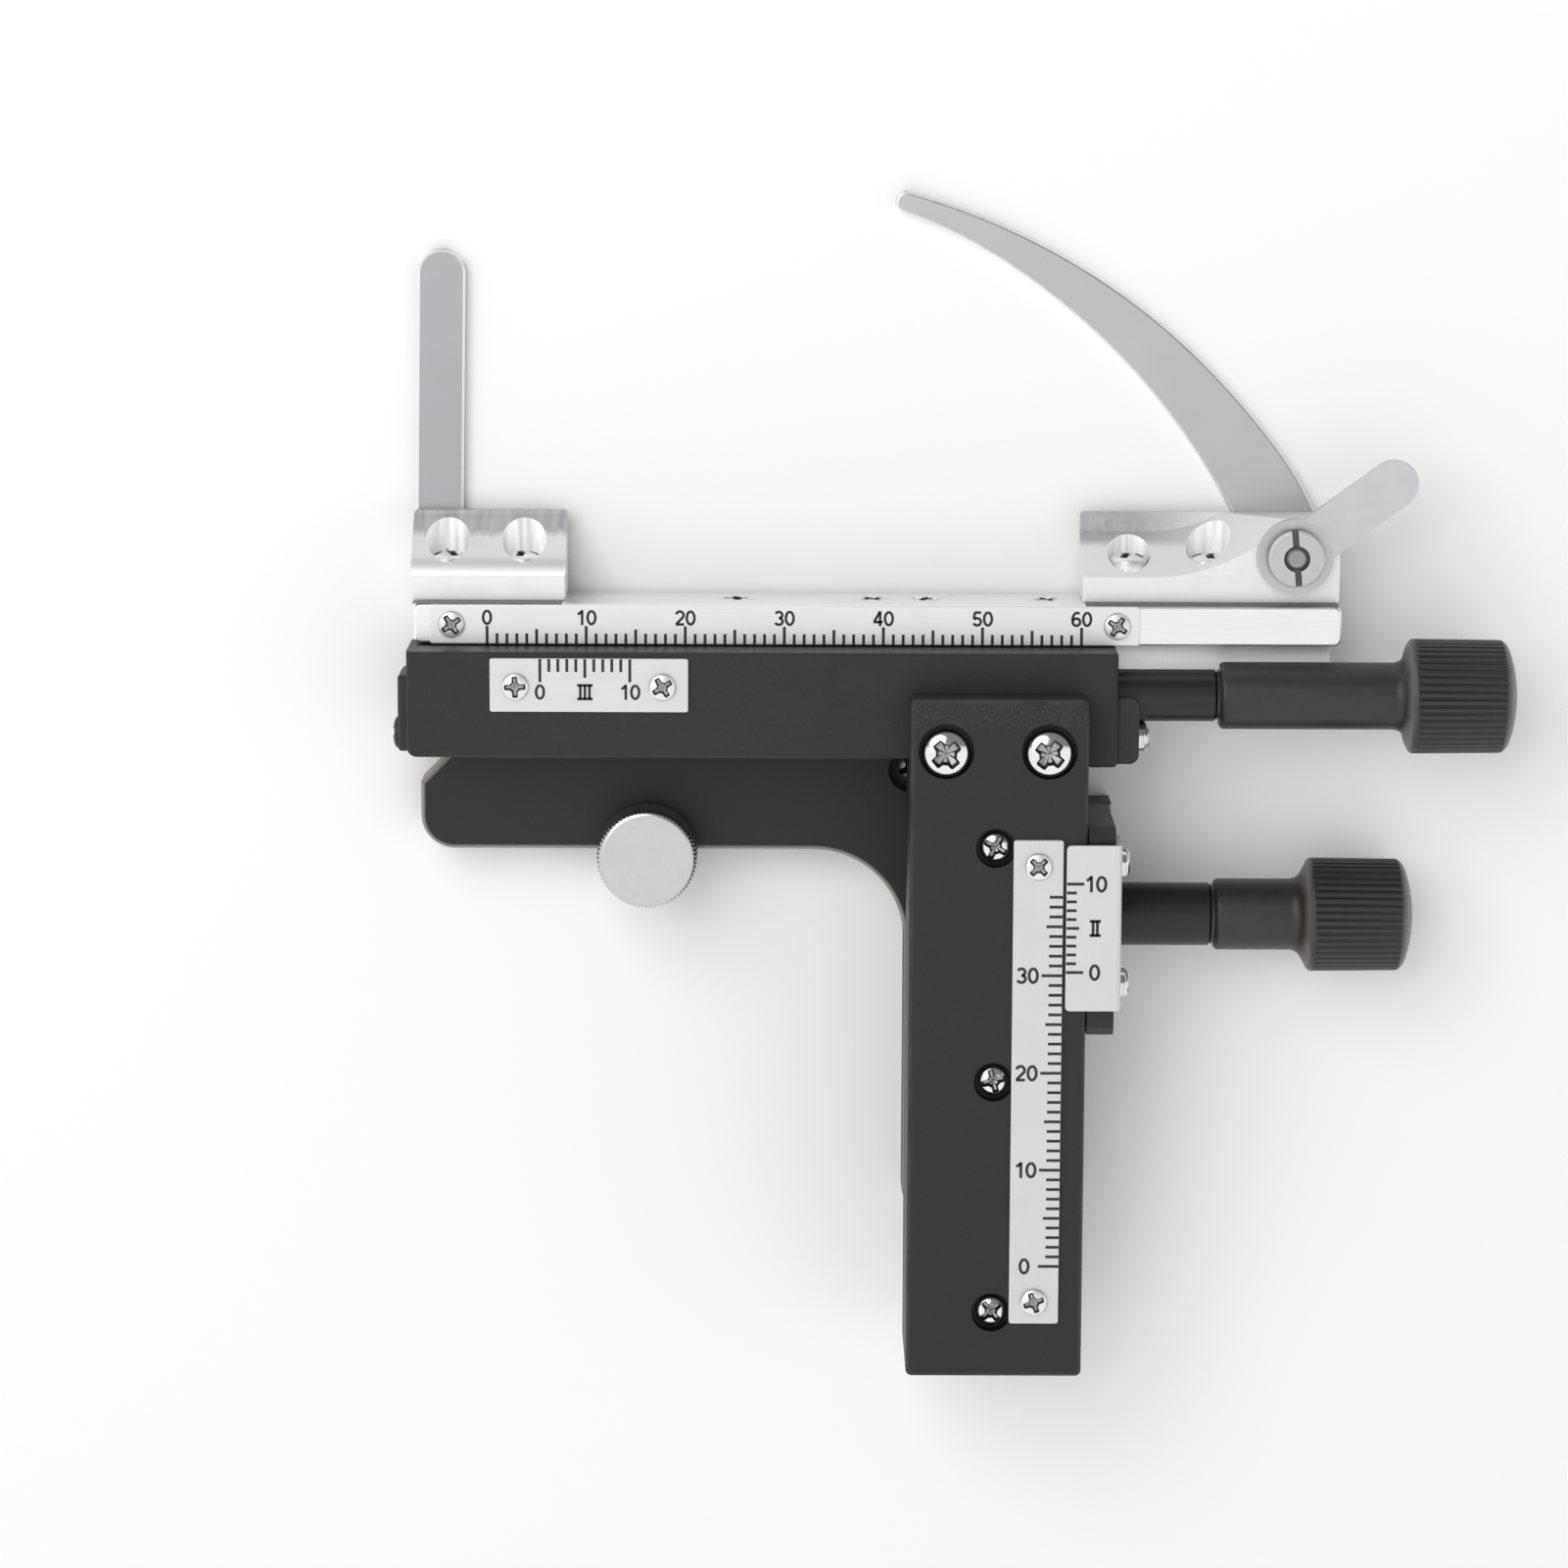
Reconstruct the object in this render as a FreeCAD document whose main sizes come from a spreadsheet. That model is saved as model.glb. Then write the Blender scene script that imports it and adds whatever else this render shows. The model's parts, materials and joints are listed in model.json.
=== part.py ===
import FreeCAD, Part
import math
import os
import re
import Sketcher

# An attachable mechanical microscope stage, millimetres.  Origin: the clamp screw's axis in the plane
# of the bracket's underside, which lies on the microscope's stage plate.  +X to the right along the
# long rail, +Y away from the user, +Z up.

Vec = FreeCAD.Vector
doc = FreeCAD.newDocument("MechanicalStage")
sheet = doc.addObject("Spreadsheet::Sheet", "Sizes")

# ------------------------------------------------------------------ driving dimensions
SIZES = [
    # fixed bracket: an arm and a limb at right angles
    ("arm_left", -23.3), ("arm_width", 10.3), ("plate_thick", 5.0),
    ("limb_left", 26.3), ("limb_right", 45.0), ("limb_end", -37.6), ("lug_right", 47.5),
    ("inner_round", 9.4), ("arm_corner", 3.4), ("limb_corner", 1.65), ("lobe_radius", 4.2),
    ("pocket_across", 26.9), ("pocket_along", 8.3), ("pocket_radius", 2.3), ("pocket_floor", 2.7),
    ("pocket_hole_radius", 1.3), ("pocket_hole_low", 1.0), ("bracket_round", 0.6),
    ("pin_offset", 15.0), ("pin_along", 5.15), ("pin_radius", 1.25), ("pin_reach", 2.0),
    ("pin_seat_radius", 1.5), ("pin_seat_depth", 3.0), ("pin_tip", 0.4), ("way_screw_inset", 1.9),
    ("way_screw_far", 4.6), ("way_screw_near", -30.0),
    # clamp screw
    ("clamp_head_radius", 5.1), ("clamp_head_low", 6.0), ("clamp_head_top", 11.0),
    ("clamp_thread_radius", 2.0), ("clamp_reach", 6.0), ("clamp_neck_radius", 1.55),
    ("clamp_collar_radius", 3.0), ("clamp_hole_radius", 2.2), ("clamp_knurl_depth", 0.16),
    ("clamp_knurl_count", 72), ("washer_radius", 4.0), ("washer_bore", 2.1), ("washer_thick", 0.6),
    # longways slide: ways on the limb, dovetail rack under the cover block
    ("way_left", 28.2), ("way_right", 42.4), ("way_near", -35.8), ("way_far", 7.4), ("way_top", 14.3),
    ("slide_centre", 35.08), ("rack_top", 14.6), ("rack_near", -49.5), ("rack_far", 8.0),
    ("dovetail_wide", 3.5), ("dovetail_narrow", 2.0), ("slide_gap", 0.06), ("channel_half", 2.95),
    ("channel_shoulder", 10.7), ("rack_half", 2.5), ("rack_tap_low", 11.4), ("way_gear_start", 31.9),
    ("way_bearing_end", 33.0), ("pressure_angle", 20.0),
    ("gear_module", 0.5), ("gear_teeth", 12), ("rack_addendum", 0.325), ("rack_dedendum", 0.55),
    ("tooth_backlash", 0.09),
    ("pinion_along", -6.1), ("pinion_height", 7.3), ("pinion_start", 32.6), ("pinion_end", 37.5),
    ("shaft_radius", 1.5), ("running_gap", 0.05),
    ("block_left", 26.45), ("block_right", 44.27), ("block_near", -51.6), ("block_step", 10.25),
    ("block_far", 17.85), ("block_top", 20.0), ("block_skirt", 1.4), ("block_low", 5.3),
    ("block_right_low", 9.3), ("block_round", 0.6), ("big_sink_radius", 2.77), ("big_sink_depth", 1.35),
    ("small_sink_radius", 2.0), ("small_sink_depth", 1.3),
    ("small_screw_far", 2.97), ("small_screw_pitch", 23.9),
    ("big_screw_centre", 35.2), ("big_screw_half", 5.14), ("big_screw_along", 12.4),
    ("big_sink_along", 12.72),
    # pinion housing and its drive
    ("housing_left", 44.4), ("housing_right", 47.1), ("housing_near", -16.3), ("housing_far", 4.9),
    ("housing_top", 19.4), ("gear_bore_radius", 3.6), ("housing_screw_far", 2.0),
    ("housing_screw_near", -13.2), ("housing_bevel", 0.8), ("tube_bevel", 0.25), ("knob_flute", 0.3),
    ("knob_bore_end", 4.0), ("drive_washer_thick", 0.25),
    ("long_tube_radius", 3.22), ("tube_end", 57.6), ("knob_radius", 5.8), ("knob_grooves", 47),
    ("long_sleeve_radius", 3.65), ("long_sleeve_end", 66.2), ("long_knob_start", 67.4),
    ("long_knob_end", 78.2),
    # graduated plates
    ("plate_sheet", 0.4), ("plate_break", 0.12), ("plate_corner", 0.3), ("cross_vernier_corner", 0.25),
    ("long_scale_left", 36.85), ("long_scale_right", 41.85),
    ("long_scale_near", -45.9), ("long_scale_far", 3.85), ("long_scale_screw_far", 1.2),
    ("long_scale_screw_near", -43.6),
    ("long_vernier_left", 42.15), ("long_vernier_right", 47.7), ("long_vernier_near", -13.46),
    ("long_vernier_far", 3.36), ("vernier_lift", 0.2), ("vernier_sheet", 0.5), ("leg_low", 14.6),
    ("leg_screw_height", 17.2), ("leg_screw_centre", -5.12), ("leg_screw_half", 6.16),
    ("vernier_bend_round", 0.55), ("vernier_corner", 0.45),
    # crossways body and its drive
    ("body_left", -24.0), ("body_right", 47.4), ("body_far", 21.85), ("body_near", 11.1),
    ("body_pad_near", 10.3), ("body_pad_left", 27.5), ("body_top", 15.0), ("body_low", 1.6),
    ("body_lip_low", 5.3), ("body_lip_far", 13.2),
    ("drive_along", 16.95), ("drive_height", 10.0), ("thread_radius", 1.9), ("thread_lead", 12.0),
    ("thread_width", 0.62), ("thread_start", -22.4), ("thread_end", 44.9),
    ("channel_near", 14.3), ("channel_far", 19.4), ("channel_low", 3.0), ("channel_top", 13.2),
    ("channel_end", 45.2), ("cross_tube_radius", 2.62), ("cross_sleeve_radius", 3.4),
    ("cross_sleeve_end", 76.0), ("cross_knob_start", 77.0), ("cross_knob_end", 87.9),
    ("cap_left", -24.95), ("cap_near", 11.6), ("cap_far", 19.3), ("cap_low", 7.3), ("cap_top", 13.8),
    ("end_plate_right", 49.65), ("end_plate_near", 10.5), ("end_plate_far", 17.2),
    ("end_plate_low", 6.2), ("end_plate_top", 13.8), ("end_screw_along", 12.68),
    ("end_screw_height", 9.6), ("cap_screw_along", 12.85), ("journal_radius", 1.2), ("body_tap_low", 9.8),
    ("body_corner", 1.0), ("body_round", 0.45), ("body_far_round", 0.18), ("cap_bevel", 0.25),
    ("end_plate_corner", 1.0), ("end_plate_round", 0.3),
    ("cross_vernier_left", -15.6), ("cross_vernier_right", 4.3), ("cross_vernier_near", 15.85),
    ("cross_vernier_far", 21.25), ("cross_vernier_screw", 18.42), ("cross_vernier_screw_left", -13.05),
    ("cross_vernier_screw_right", 1.7),
    # rail that carries the slide holder
    ("rail_left", -23.6), ("rail_right", 70.2), ("rail_near", 21.95), ("rail_far", 26.05),
    ("rail_low", 1.0), ("rail_top", 10.0), ("strip_height", 4.9), ("strip_inner", 19.2),
    ("strip_neck", 1.1), ("strip_flare", 2.17), ("strip_foot", 0.8), ("strip_foot_half", 2.3),
    ("strip_screw_one", 9.07), ("strip_screw_two", 22.83), ("strip_screw_three", 28.27),
    ("strip_screw_four", 40.57), ("strip_tap_start", 20.3), ("rail_tap_start", 22.9), ("rail_corner", 0.8),
    ("rail_round", 0.35),
    ("cross_scale_left", -21.9), ("cross_scale_right", 49.8), ("cross_scale_screw_left", -19.7),
    ("cross_scale_screw_right", 47.5),
    ("nut_left", 32.0), ("nut_length", 6.5), ("nut_near", 14.5), ("nut_low", 3.4), ("nut_top", 12.9),
    ("peg_radius", 0.3), ("peg_length", 0.75), ("peg_bite", 0.35),
    # slide holder
    ("holder_low", 1.3), ("holder_top", 7.8), ("holder_flat", 28.65),
    ("holder_far", 34.65), ("holder_lip", 2.3), ("left_holder_left", -23.95), ("left_holder_right", -8.3),
    ("crest_along", 2.0), ("crest_drop", 1.4), ("crest_bulge", 0.15), ("slope_foot", 5.6),
    ("ledge_along", 4.05), ("holder_corner", 0.4), ("holder_break", 0.15),
    ("right_holder_left", 44.1), ("right_holder_right", 70.15), ("scoop_turn", 51.1),
    ("scoop_turn_radius", 18.4), ("holder_seat", 29.35), ("holder_bore_radius", 2.22),
    ("left_bore_one", -20.33), ("left_bore_two", -12.6),
    ("right_bore_one", 48.92), ("right_bore_two", 56.91),
    ("finger_sheet", 1.2), ("left_finger_left", -23.92), ("left_finger_right", -19.06),
    ("left_finger_near", 27.2), ("left_finger_lean", 0.46), ("left_finger_tip", 61.1),
    ("left_finger_foot", 33.4), ("finger_bevel", 0.25), ("finger_screw_along", 30.2),
    ("finger_screw_one", -16.35), ("finger_screw_two", -21.2), ("spring_finger_round", 0.3),
    ("pivot_across", 65.5), ("pivot_along", 30.9), ("stud_radius", 1.5), ("collar_radius", 2.1),
    ("collar_top", 2.0), ("stud_end_radius", 1.1), ("stud_point", 0.85), ("bush_radius", 2.4),
    ("bush_low", 4.2), ("spring_room_radius", 3.4),
    ("hub_radius", 4.1), ("lever_low", 8.0), ("lever_sheet", 1.0), ("lever_head_radius", 3.85),
    ("lever_bend", 4.75), ("lever_reach", 12.6), ("lever_half_width", 2.45), ("lever_turn", 38.5),
    ("lever_rise", 14.0), ("nut_radius", 2.9), ("nut_thick", 1.5), ("nut_slot", 0.65),
    ("nut_slot_turn", 5.0), ("nut_slot_depth", 0.95), ("nut_mouth_radius", 1.32), ("nut_mouth_depth", 0.9),
    ("nut_round", 0.25),
    ("spring_radius", 2.75), ("spring_wire", 0.5), ("spring_pitch", 0.58), ("spring_turns", 2.5),
    ("spring_low", 2.4),
]
# screws: radius and thickness of the head, radius and length of the shank
SCREW_KINDS = {
    "way_screw": (2.2, 1.15, 1.2, 11.5), "housing_screw": (1.55, 0.8, 0.95, 10.5),
    "pocket_screw": (1.5, 1.2, 1.25, 1.6), "rack_screw": (1.55, 1.15, 1.0, 7.1),
    "body_screw": (2.42, 1.6, 1.25, 8.5), "leg_screw": (1.5, 1.1, 0.8, 2.9),
    "long_scale_screw": (1.35, 0.6, 0.8, 3.2), "cross_vernier_screw": (1.35, 0.6, 0.8, 2.0),
    "cross_scale_screw": (1.35, 0.6, 0.8, 2.4), "cap_screw": (1.6, 0.8, 0.8, 4.5),
    "end_screw": (1.62, 1.4, 0.9, 6.5), "strip_screw": (1.7, 0.9, 0.9, 5.6),
    "holder_screw": (2.0, 1.5, 1.25, 6.4), "finger_screw": (1.7, 0.85, 0.85, 2.55),
}
for kind, measures in SCREW_KINDS.items():
    SIZES += [("%s_%s" % (kind, part), value)
              for part, value in zip(("head", "thick", "shank", "reach"), measures)]
for row, (alias, value) in enumerate(SIZES, start=1):
    sheet.set("A%d" % row, alias)
    sheet.set("B%d" % row, str(value))
    sheet.setAlias("B%d" % row, alias)
doc.recompute()
ALIASES = {alias for alias, _ in SIZES}


def size(alias):
    """The number in one cell of the sheet."""
    return float(sheet.get(alias))


def formula(text):
    """An expression in aliases, written out as the document's own expression."""
    return re.sub(r"[a-z][a-z_]+", lambda m: "Sizes." + m.group(0) if m.group(0) in ALIASES else m.group(0),
                  str(text))


def bind(obj, links):
    """Tie properties of an object to the sheet."""
    for prop, text in links.items():
        obj.setExpression(prop, formula(text))
    return obj


# ------------------------------------------------------------------ building blocks
TURN = {"Z": FreeCAD.Rotation(), "X": FreeCAD.Rotation(Vec(0, 1, 0), 90),
        "Y": FreeCAD.Rotation(Vec(1, 0, 0), -90)}
FACING = {"+Z": FreeCAD.Rotation(), "-Z": FreeCAD.Rotation(Vec(1, 0, 0), 180),
          "+X": FreeCAD.Rotation(Vec(0, 1, 0), 90), "-X": FreeCAD.Rotation(Vec(0, 1, 0), -90),
          "+Y": FreeCAD.Rotation(Vec(1, 0, 0), -90)}
AXES = ("X", "Y", "Z")
NEAR = 1e-3     # how near two places have to be to count as one


def place(obj, x, y, z, rotation=None):
    """Put an object at a point given by three expressions."""
    obj.Placement = FreeCAD.Placement(Vec(), rotation or FreeCAD.Rotation())
    return bind(obj, {"Placement.Base.x": x, "Placement.Base.y": y, "Placement.Base.z": z})


def box(name, x, y, z):
    """A box between two expressions on each axis."""
    obj = doc.addObject("Part::Box", name)
    bind(obj, {"Length": "(%s) - (%s)" % (x[1], x[0]), "Width": "(%s) - (%s)" % (y[1], y[0]),
               "Height": "(%s) - (%s)" % (z[1], z[0])})
    return place(obj, x[0], y[0], z[0])


def along(axis, start, at):
    """Three expressions for a point: start on the named axis, at on the other two in order."""
    point = list(at)
    point.insert(AXES.index(axis), start)
    return point


def rod(name, axis, at, radius, start, stop):
    """A cylinder along an axis; at holds its place on the other two axes."""
    obj = doc.addObject("Part::Cylinder", name)
    bind(obj, {"Radius": radius, "Height": "(%s) - (%s)" % (stop, start)})
    return place(obj, *along(axis, start, at), TURN[axis])


def taper(name, axis, at, first, last, start, stop):
    """A cone along an axis, with radius first at its start and last at its end."""
    obj = doc.addObject("Part::Cone", name)
    bind(obj, {"Radius1": first, "Radius2": last, "Height": "(%s) - (%s)" % (stop, start)})
    return place(obj, *along(axis, start, at), TURN[axis])


def cut(name, base, *tools):
    """Base less its tools."""
    obj = doc.addObject("Part::Cut", name)
    obj.Base = base
    obj.Tool = tools[0] if len(tools) == 1 else fuse(name + "_tools", *tools)
    return obj


def fuse(name, *pieces):
    """Pieces joined into one."""
    obj = doc.addObject("Part::MultiFuse", name)
    obj.Shapes = list(pieces)
    obj.Refine = True
    return obj


def common(name, first, second):
    """What two pieces share."""
    obj = doc.addObject("Part::Common", name)
    obj.Base, obj.Tool = first, second
    return obj


def group(name, pieces):
    """Identical fasteners kept together as separate solids."""
    obj = doc.addObject("Part::Compound", name)
    obj.Links = list(pieces)
    return obj


PLANES = {"XY": (FreeCAD.Rotation(), "z", Vec(0, 0, 1)),
          "YZ": (FreeCAD.Rotation(Vec(1, 1, 1), 120), "x", Vec(1, 0, 0)),
          "XZ": (FreeCAD.Rotation(Vec(1, 0, 0), 90), "y", Vec(0, 1, 0))}


def outline(sketch, points):
    """Draw a closed outline.  A vertex is a pair of expressions; a point with a third entry is the
    middle of an arc between its neighbours.  An outline of straight lines is bound to the sheet."""
    drawn = []
    corners = [p for p in points if len(p) == 2]
    for index, point in enumerate(points):
        if len(point) == 3:
            continue
        after = points[(index + 1) % len(points)]
        spot = Vec(*map(value_of, point), 0)
        if len(after) == 3:
            end = points[(index + 2) % len(points)]
            drawn.append(Part.Arc(spot, Vec(*map(value_of, after[:2]), 0), Vec(*map(value_of, end), 0)))
        else:
            drawn.append(Part.LineSegment(spot, Vec(*map(value_of, after), 0)))
    for curve in drawn:
        sketch.addGeometry(curve)
    if any(len(p) == 3 for p in points):
        return sketch
    count = len(corners)
    for index, corner in enumerate(corners):
        sketch.addConstraint(Sketcher.Constraint("Coincident", index, 2, (index + 1) % count, 1))
    for index, corner in enumerate(corners):
        for kind, text in zip(("DistanceX", "DistanceY"), corner):
            number = sketch.addConstraint(Sketcher.Constraint(kind, -1, 1, index, 1, value_of(text)))
            sketch.setExpression("Constraints[%d]" % number, formula(text))
    return sketch


def value_of(text):
    """The number that an expression in aliases gives."""
    return float(sheet.evalExpression(formula(text)))


def prism(name, plane, points, start, stop):
    """An outline drawn on a plane and carried from start to stop along its normal."""
    rotation, letter, direction = PLANES[plane]
    sketch = doc.addObject("Sketcher::SketchObject", name + "_outline")
    sketch.Placement = FreeCAD.Placement(Vec(), rotation)
    outline(sketch, points)
    sketch.setExpression("Placement.Base." + letter, formula(start))
    obj = doc.addObject("Part::Extrusion", name)
    obj.Base, obj.DirMode, obj.Dir, obj.Solid = sketch, "Custom", direction, True
    return bind(obj, {"LengthFwd": "(%s) - (%s)" % (stop, start)})


def rounded(name, base, radius, chosen, kind="Part::Fillet"):
    """Round or bevel the edges that a test picks, by a radius or by a function that gives each its own."""
    doc.recompute()
    obj = doc.addObject(kind, name)
    obj.Base = base
    picked = [(i, edge) for i, edge in enumerate(base.Shape.Edges, start=1) if chosen(edge)]
    amounts = [(i, radius(edge) if callable(radius) else radius) for i, edge in picked]
    obj.Edges = [(i, amount, amount) for i, amount in amounts]
    return obj


def box_of(edge):
    """An edge's bounding box."""
    return edge.BoundBox


def at_height(edge, z):
    """True for an edge that lies in the plane z."""
    b = box_of(edge)
    return abs(b.ZMin - z) < NEAR and abs(b.ZMax - z) < NEAR


def upright(edge):
    """True for a straight edge parallel to Z."""
    b = box_of(edge)
    return b.XLength < NEAR and b.YLength < NEAR


# the cross recess and the dome, as shares of the head's radius or thickness
WING_HALF, WING_REACH, CORE, MOUTH, RECESS_DEPTH, DOME_RISE = 0.15, 0.62, 0.3, 0.66, 0.7, 0.4


def screw_head(name, head, thick, shank, flush):
    """A head on the plane zero: a dome above it, or a countersunk cone below it."""
    if flush:
        return taper(name + "_head", "Z", ("0", "0"), shank, head, "-" + thick, "0")
    dome = doc.addObject("Part::Sphere", name + "_dome")
    radius = "(%s^2 / (%s * %g) + %s * %g) / 2" % (head, thick, DOME_RISE, thick, DOME_RISE)
    bind(dome, {"Radius": radius})
    place(dome, "0", "0", "%s - %s" % (thick, radius))
    return common(name + "_head", rod(name + "_disc", "Z", ("0", "0"), head, "0", thick), dome)


def screw(name, facing, point, kind, flush=False):
    """A cross-recessed screw seated at a point; flush gives a countersunk head below the seat."""
    head, thick, shank, reach = [kind + part for part in ("_head", "_thick", "_shank", "_reach")]
    top = "0" if flush else thick
    over = top + " + 0.1"
    deep = "%s - %s * %g" % (top, thick, RECESS_DEPTH)
    half, long = "%s * %g" % (head, WING_HALF), "%s * %g" % (head, WING_REACH)
    blank = fuse(name + "_blank", screw_head(name, head, thick, shank, flush),
                 rod(name + "_stem", "Z", ("0", "0"), shank, "-" + reach, "0"))
    cross = fuse(name + "_cross",
                 box(name + "_wing_a", ("-" + long, long), ("-" + half, half), (deep, over)),
                 box(name + "_wing_b", ("-" + half, half), ("-" + long, long), (deep, over)))
    mouth = taper(name + "_mouth", "Z", ("0", "0"), "%s * %g" % (head, CORE),
                  "%s * %g" % (head, MOUTH), deep, over)
    return place(cut(name, blank, common(name + "_recess", cross, mouth)), *point, FACING[facing])


def ring(name, axis, at, outer, inner, start, stop):
    """A plain washer or tube."""
    return cut(name, rod(name + "_outside", axis, at, outer, start, stop),
               rod(name + "_inside", axis, at, inner, "(%s) - 1" % start, "(%s) + 1" % stop))


NODES = []


def node(obj):
    """Keep an object as one of the finished pieces."""
    obj.Label = obj.Name
    NODES.append(obj)
    return obj


# ------------------------------------------------------------------ fixed bracket
PINION_AT = ("pinion_along", "pinion_height")
DRIVE_AT = ("drive_along", "drive_height")


def corner_key(x, y):
    """Where an upright edge stands, from two aliases or numbers."""
    return tuple(round(size(v) if isinstance(v, str) else v, 3) for v in (x, y))


def edge_key(edge):
    """Where an upright edge stands; None for any other edge."""
    return (round(box_of(edge).XMin, 3), round(box_of(edge).YMin, 3)) if upright(edge) else None


def base_bracket():
    """Cast plate: arm along X, limb along -Y, a lobe under the clamp screw, a lug under the housing."""
    plate = prism("bracket_plate", "XY", [("arm_left", "0"), ("limb_left", "0"), ("limb_left", "limb_end"),
                                          ("limb_right", "limb_end"), ("limb_right", "arm_width"),
                                          ("arm_left", "arm_width")], "0", "plate_thick")
    radii = {("limb_left", 0): "inner_round", ("arm_left", 0): "arm_corner",
             ("limb_left", "limb_end"): "limb_corner", ("limb_right", "limb_end"): "limb_corner"}
    spots = {corner_key(x, y): size(radius) for (x, y), radius in radii.items()}
    corners = rounded("bracket_corners", plate, lambda e: spots[edge_key(e)], lambda e: edge_key(e) in spots)
    bevel = rounded("bracket_bevel", corners, size("arm_corner"),
                    lambda e: edge_key(e) == corner_key("arm_left", "arm_width"), "Part::Chamfer")
    lobe = rod("bracket_lobe", "Z", ("0", "0"), "lobe_radius", "0", "plate_thick")
    lug = box("bracket_lug", ("limb_right - 1", "lug_right"), ("housing_near", "housing_far"),
              ("0", "plate_thick"))
    joined = fuse("bracket_blank", bevel, lobe, lug)
    soft = rounded("bracket_soft", joined, size("bracket_round"), lambda e: at_height(e, size("plate_thick")))
    pins = [rod("pin_hole_%d" % i, "Z", ("%d * pin_offset" % side, "pin_along"), "pin_seat_radius", "-1",
                "pin_seat_depth") for i, side in enumerate((-1, 1))]
    sinks = countersinks("way_sink", way_screw_places(), "way_screw")
    sinks += countersinks("housing_sink", housing_screw_places(), "housing_screw")
    return node(cut("base_bracket", soft,
                    rod("clamp_hole", "Z", ("0", "0"), "clamp_hole_radius", "-1", "plate_thick + 1"),
                    rod("pocket", "Z", ("pocket_across", "pocket_along"), "pocket_radius", "pocket_floor",
                        "plate_thick + 1"),
                    rod("pocket_hole", "Z", ("pocket_across", "pocket_along"), "pocket_hole_radius",
                        "pocket_hole_low", "plate_thick"),
                    rod("gear_clearance", "X", PINION_AT, "gear_bore_radius", "way_gear_start",
                        "lug_right + 1"),
                    *pins, *sinks))


def countersinks(name, places, kind):
    """Tools for countersunk holes from below, a little wider than the screws that they take."""
    tools = []
    for i, at in enumerate(places):
        tools.append(rod("%s_hole_%d" % (name, i), "Z", at, kind + "_shank + 0.05", "-1", "plate_thick + 1"))
        tools.append(taper("%s_cone_%d" % (name, i), "Z", at, kind + "_head + 0.06", kind + "_shank", "0",
                           kind + "_thick + 0.1"))
    return tools


def way_screw_places():
    """Centres of the screws that hold the way block."""
    left, right = "way_left + way_screw_inset", "way_right - way_screw_inset - 0.2"
    return [(x, y) for y in ("way_screw_far", "way_screw_near") for x in (left, right)]


def housing_screw_places():
    """Centres of the screws that hold the pinion housing."""
    mid = "(housing_left + housing_right) / 2"
    return [(mid, "housing_screw_far"), (mid, "housing_screw_near")]


def locating_pins():
    """Two dowels that stand out below the arm."""
    pieces = []
    for i, side in enumerate((-1, 1)):
        at = ("%d * pin_offset" % side, "pin_along")
        pieces.append(fuse("dowel_%d" % i,
                           rod("dowel_top_%d" % i, "Z", at, "pin_seat_radius", "0", "pin_seat_depth"),
                           rod("dowel_low_%d" % i, "Z", at, "pin_radius", "-pin_reach", "0"),
                           taper("dowel_tip_%d" % i, "Z", at, "pin_radius - pin_tip", "pin_radius",
                                 "-pin_reach - pin_tip", "-pin_reach")))
    return node(group("locating_pins", pieces))


def clamp_screw():
    """Captive thumb screw: knurled head, relieved neck, plain-modelled thread below the arm."""
    body = doc.addObject("PartDesign::Body", "clamp_screw")
    h0, h1 = "clamp_head_low", "clamp_head_top"
    r = "clamp_head_radius"
    turn = revolve_feature(body, "clamp_turn", "XZ_Plane", [
        ("0", "-clamp_reach"), ("clamp_thread_radius - 0.5", "-clamp_reach"),
        ("clamp_thread_radius", "-clamp_reach + 0.5"), ("clamp_thread_radius", "0"),
        ("clamp_neck_radius", "0"), ("clamp_neck_radius", "plate_thick + washer_thick + 0.05"),
        ("clamp_collar_radius", "plate_thick + washer_thick + 0.05"), ("clamp_collar_radius", h0),
        (r + " - 0.4", h0), (r, h0 + " + 0.4"),
        (r, h1 + " - 0.55"), (r + " - 0.5", h1), ("0", h1)], "V_Axis")
    knurl(body, "clamp", "XY_Plane", r, size("clamp_knurl_depth"), int(size("clamp_knurl_count")), h0, h1,
          "Z_Axis", turn)
    return node(body)


def clamp_washer():
    """Flat washer between the clamp screw's head and the arm."""
    return node(ring("clamp_washer", "Z", ("0", "0"), "washer_radius", "washer_bore", "plate_thick",
                     "plate_thick + washer_thick"))


def origin_feature(body, role):
    """One of a body's own origin planes or axes."""
    return [f for f in body.Origin.OriginFeatures if f.Role == role][0]


def flat_sketch(body, name, role, points):
    """An outline on one of a body's origin planes."""
    sketch = body.newObject("Sketcher::SketchObject", name)
    sketch.AttachmentSupport = (origin_feature(body, role), [""])
    sketch.MapMode = "FlatFace"
    return outline(sketch, points)


def revolve_feature(body, name, role, points, axis):
    """A full turn of an outline about the sketch's own axis."""
    sketch = flat_sketch(body, name + "_profile", role, points)
    turn = body.newObject("PartDesign::Revolution", name)
    turn.Profile = sketch
    turn.ReferenceAxis = (sketch, [axis])
    turn.Angle = 360
    sketch.Visibility = False
    return turn


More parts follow.
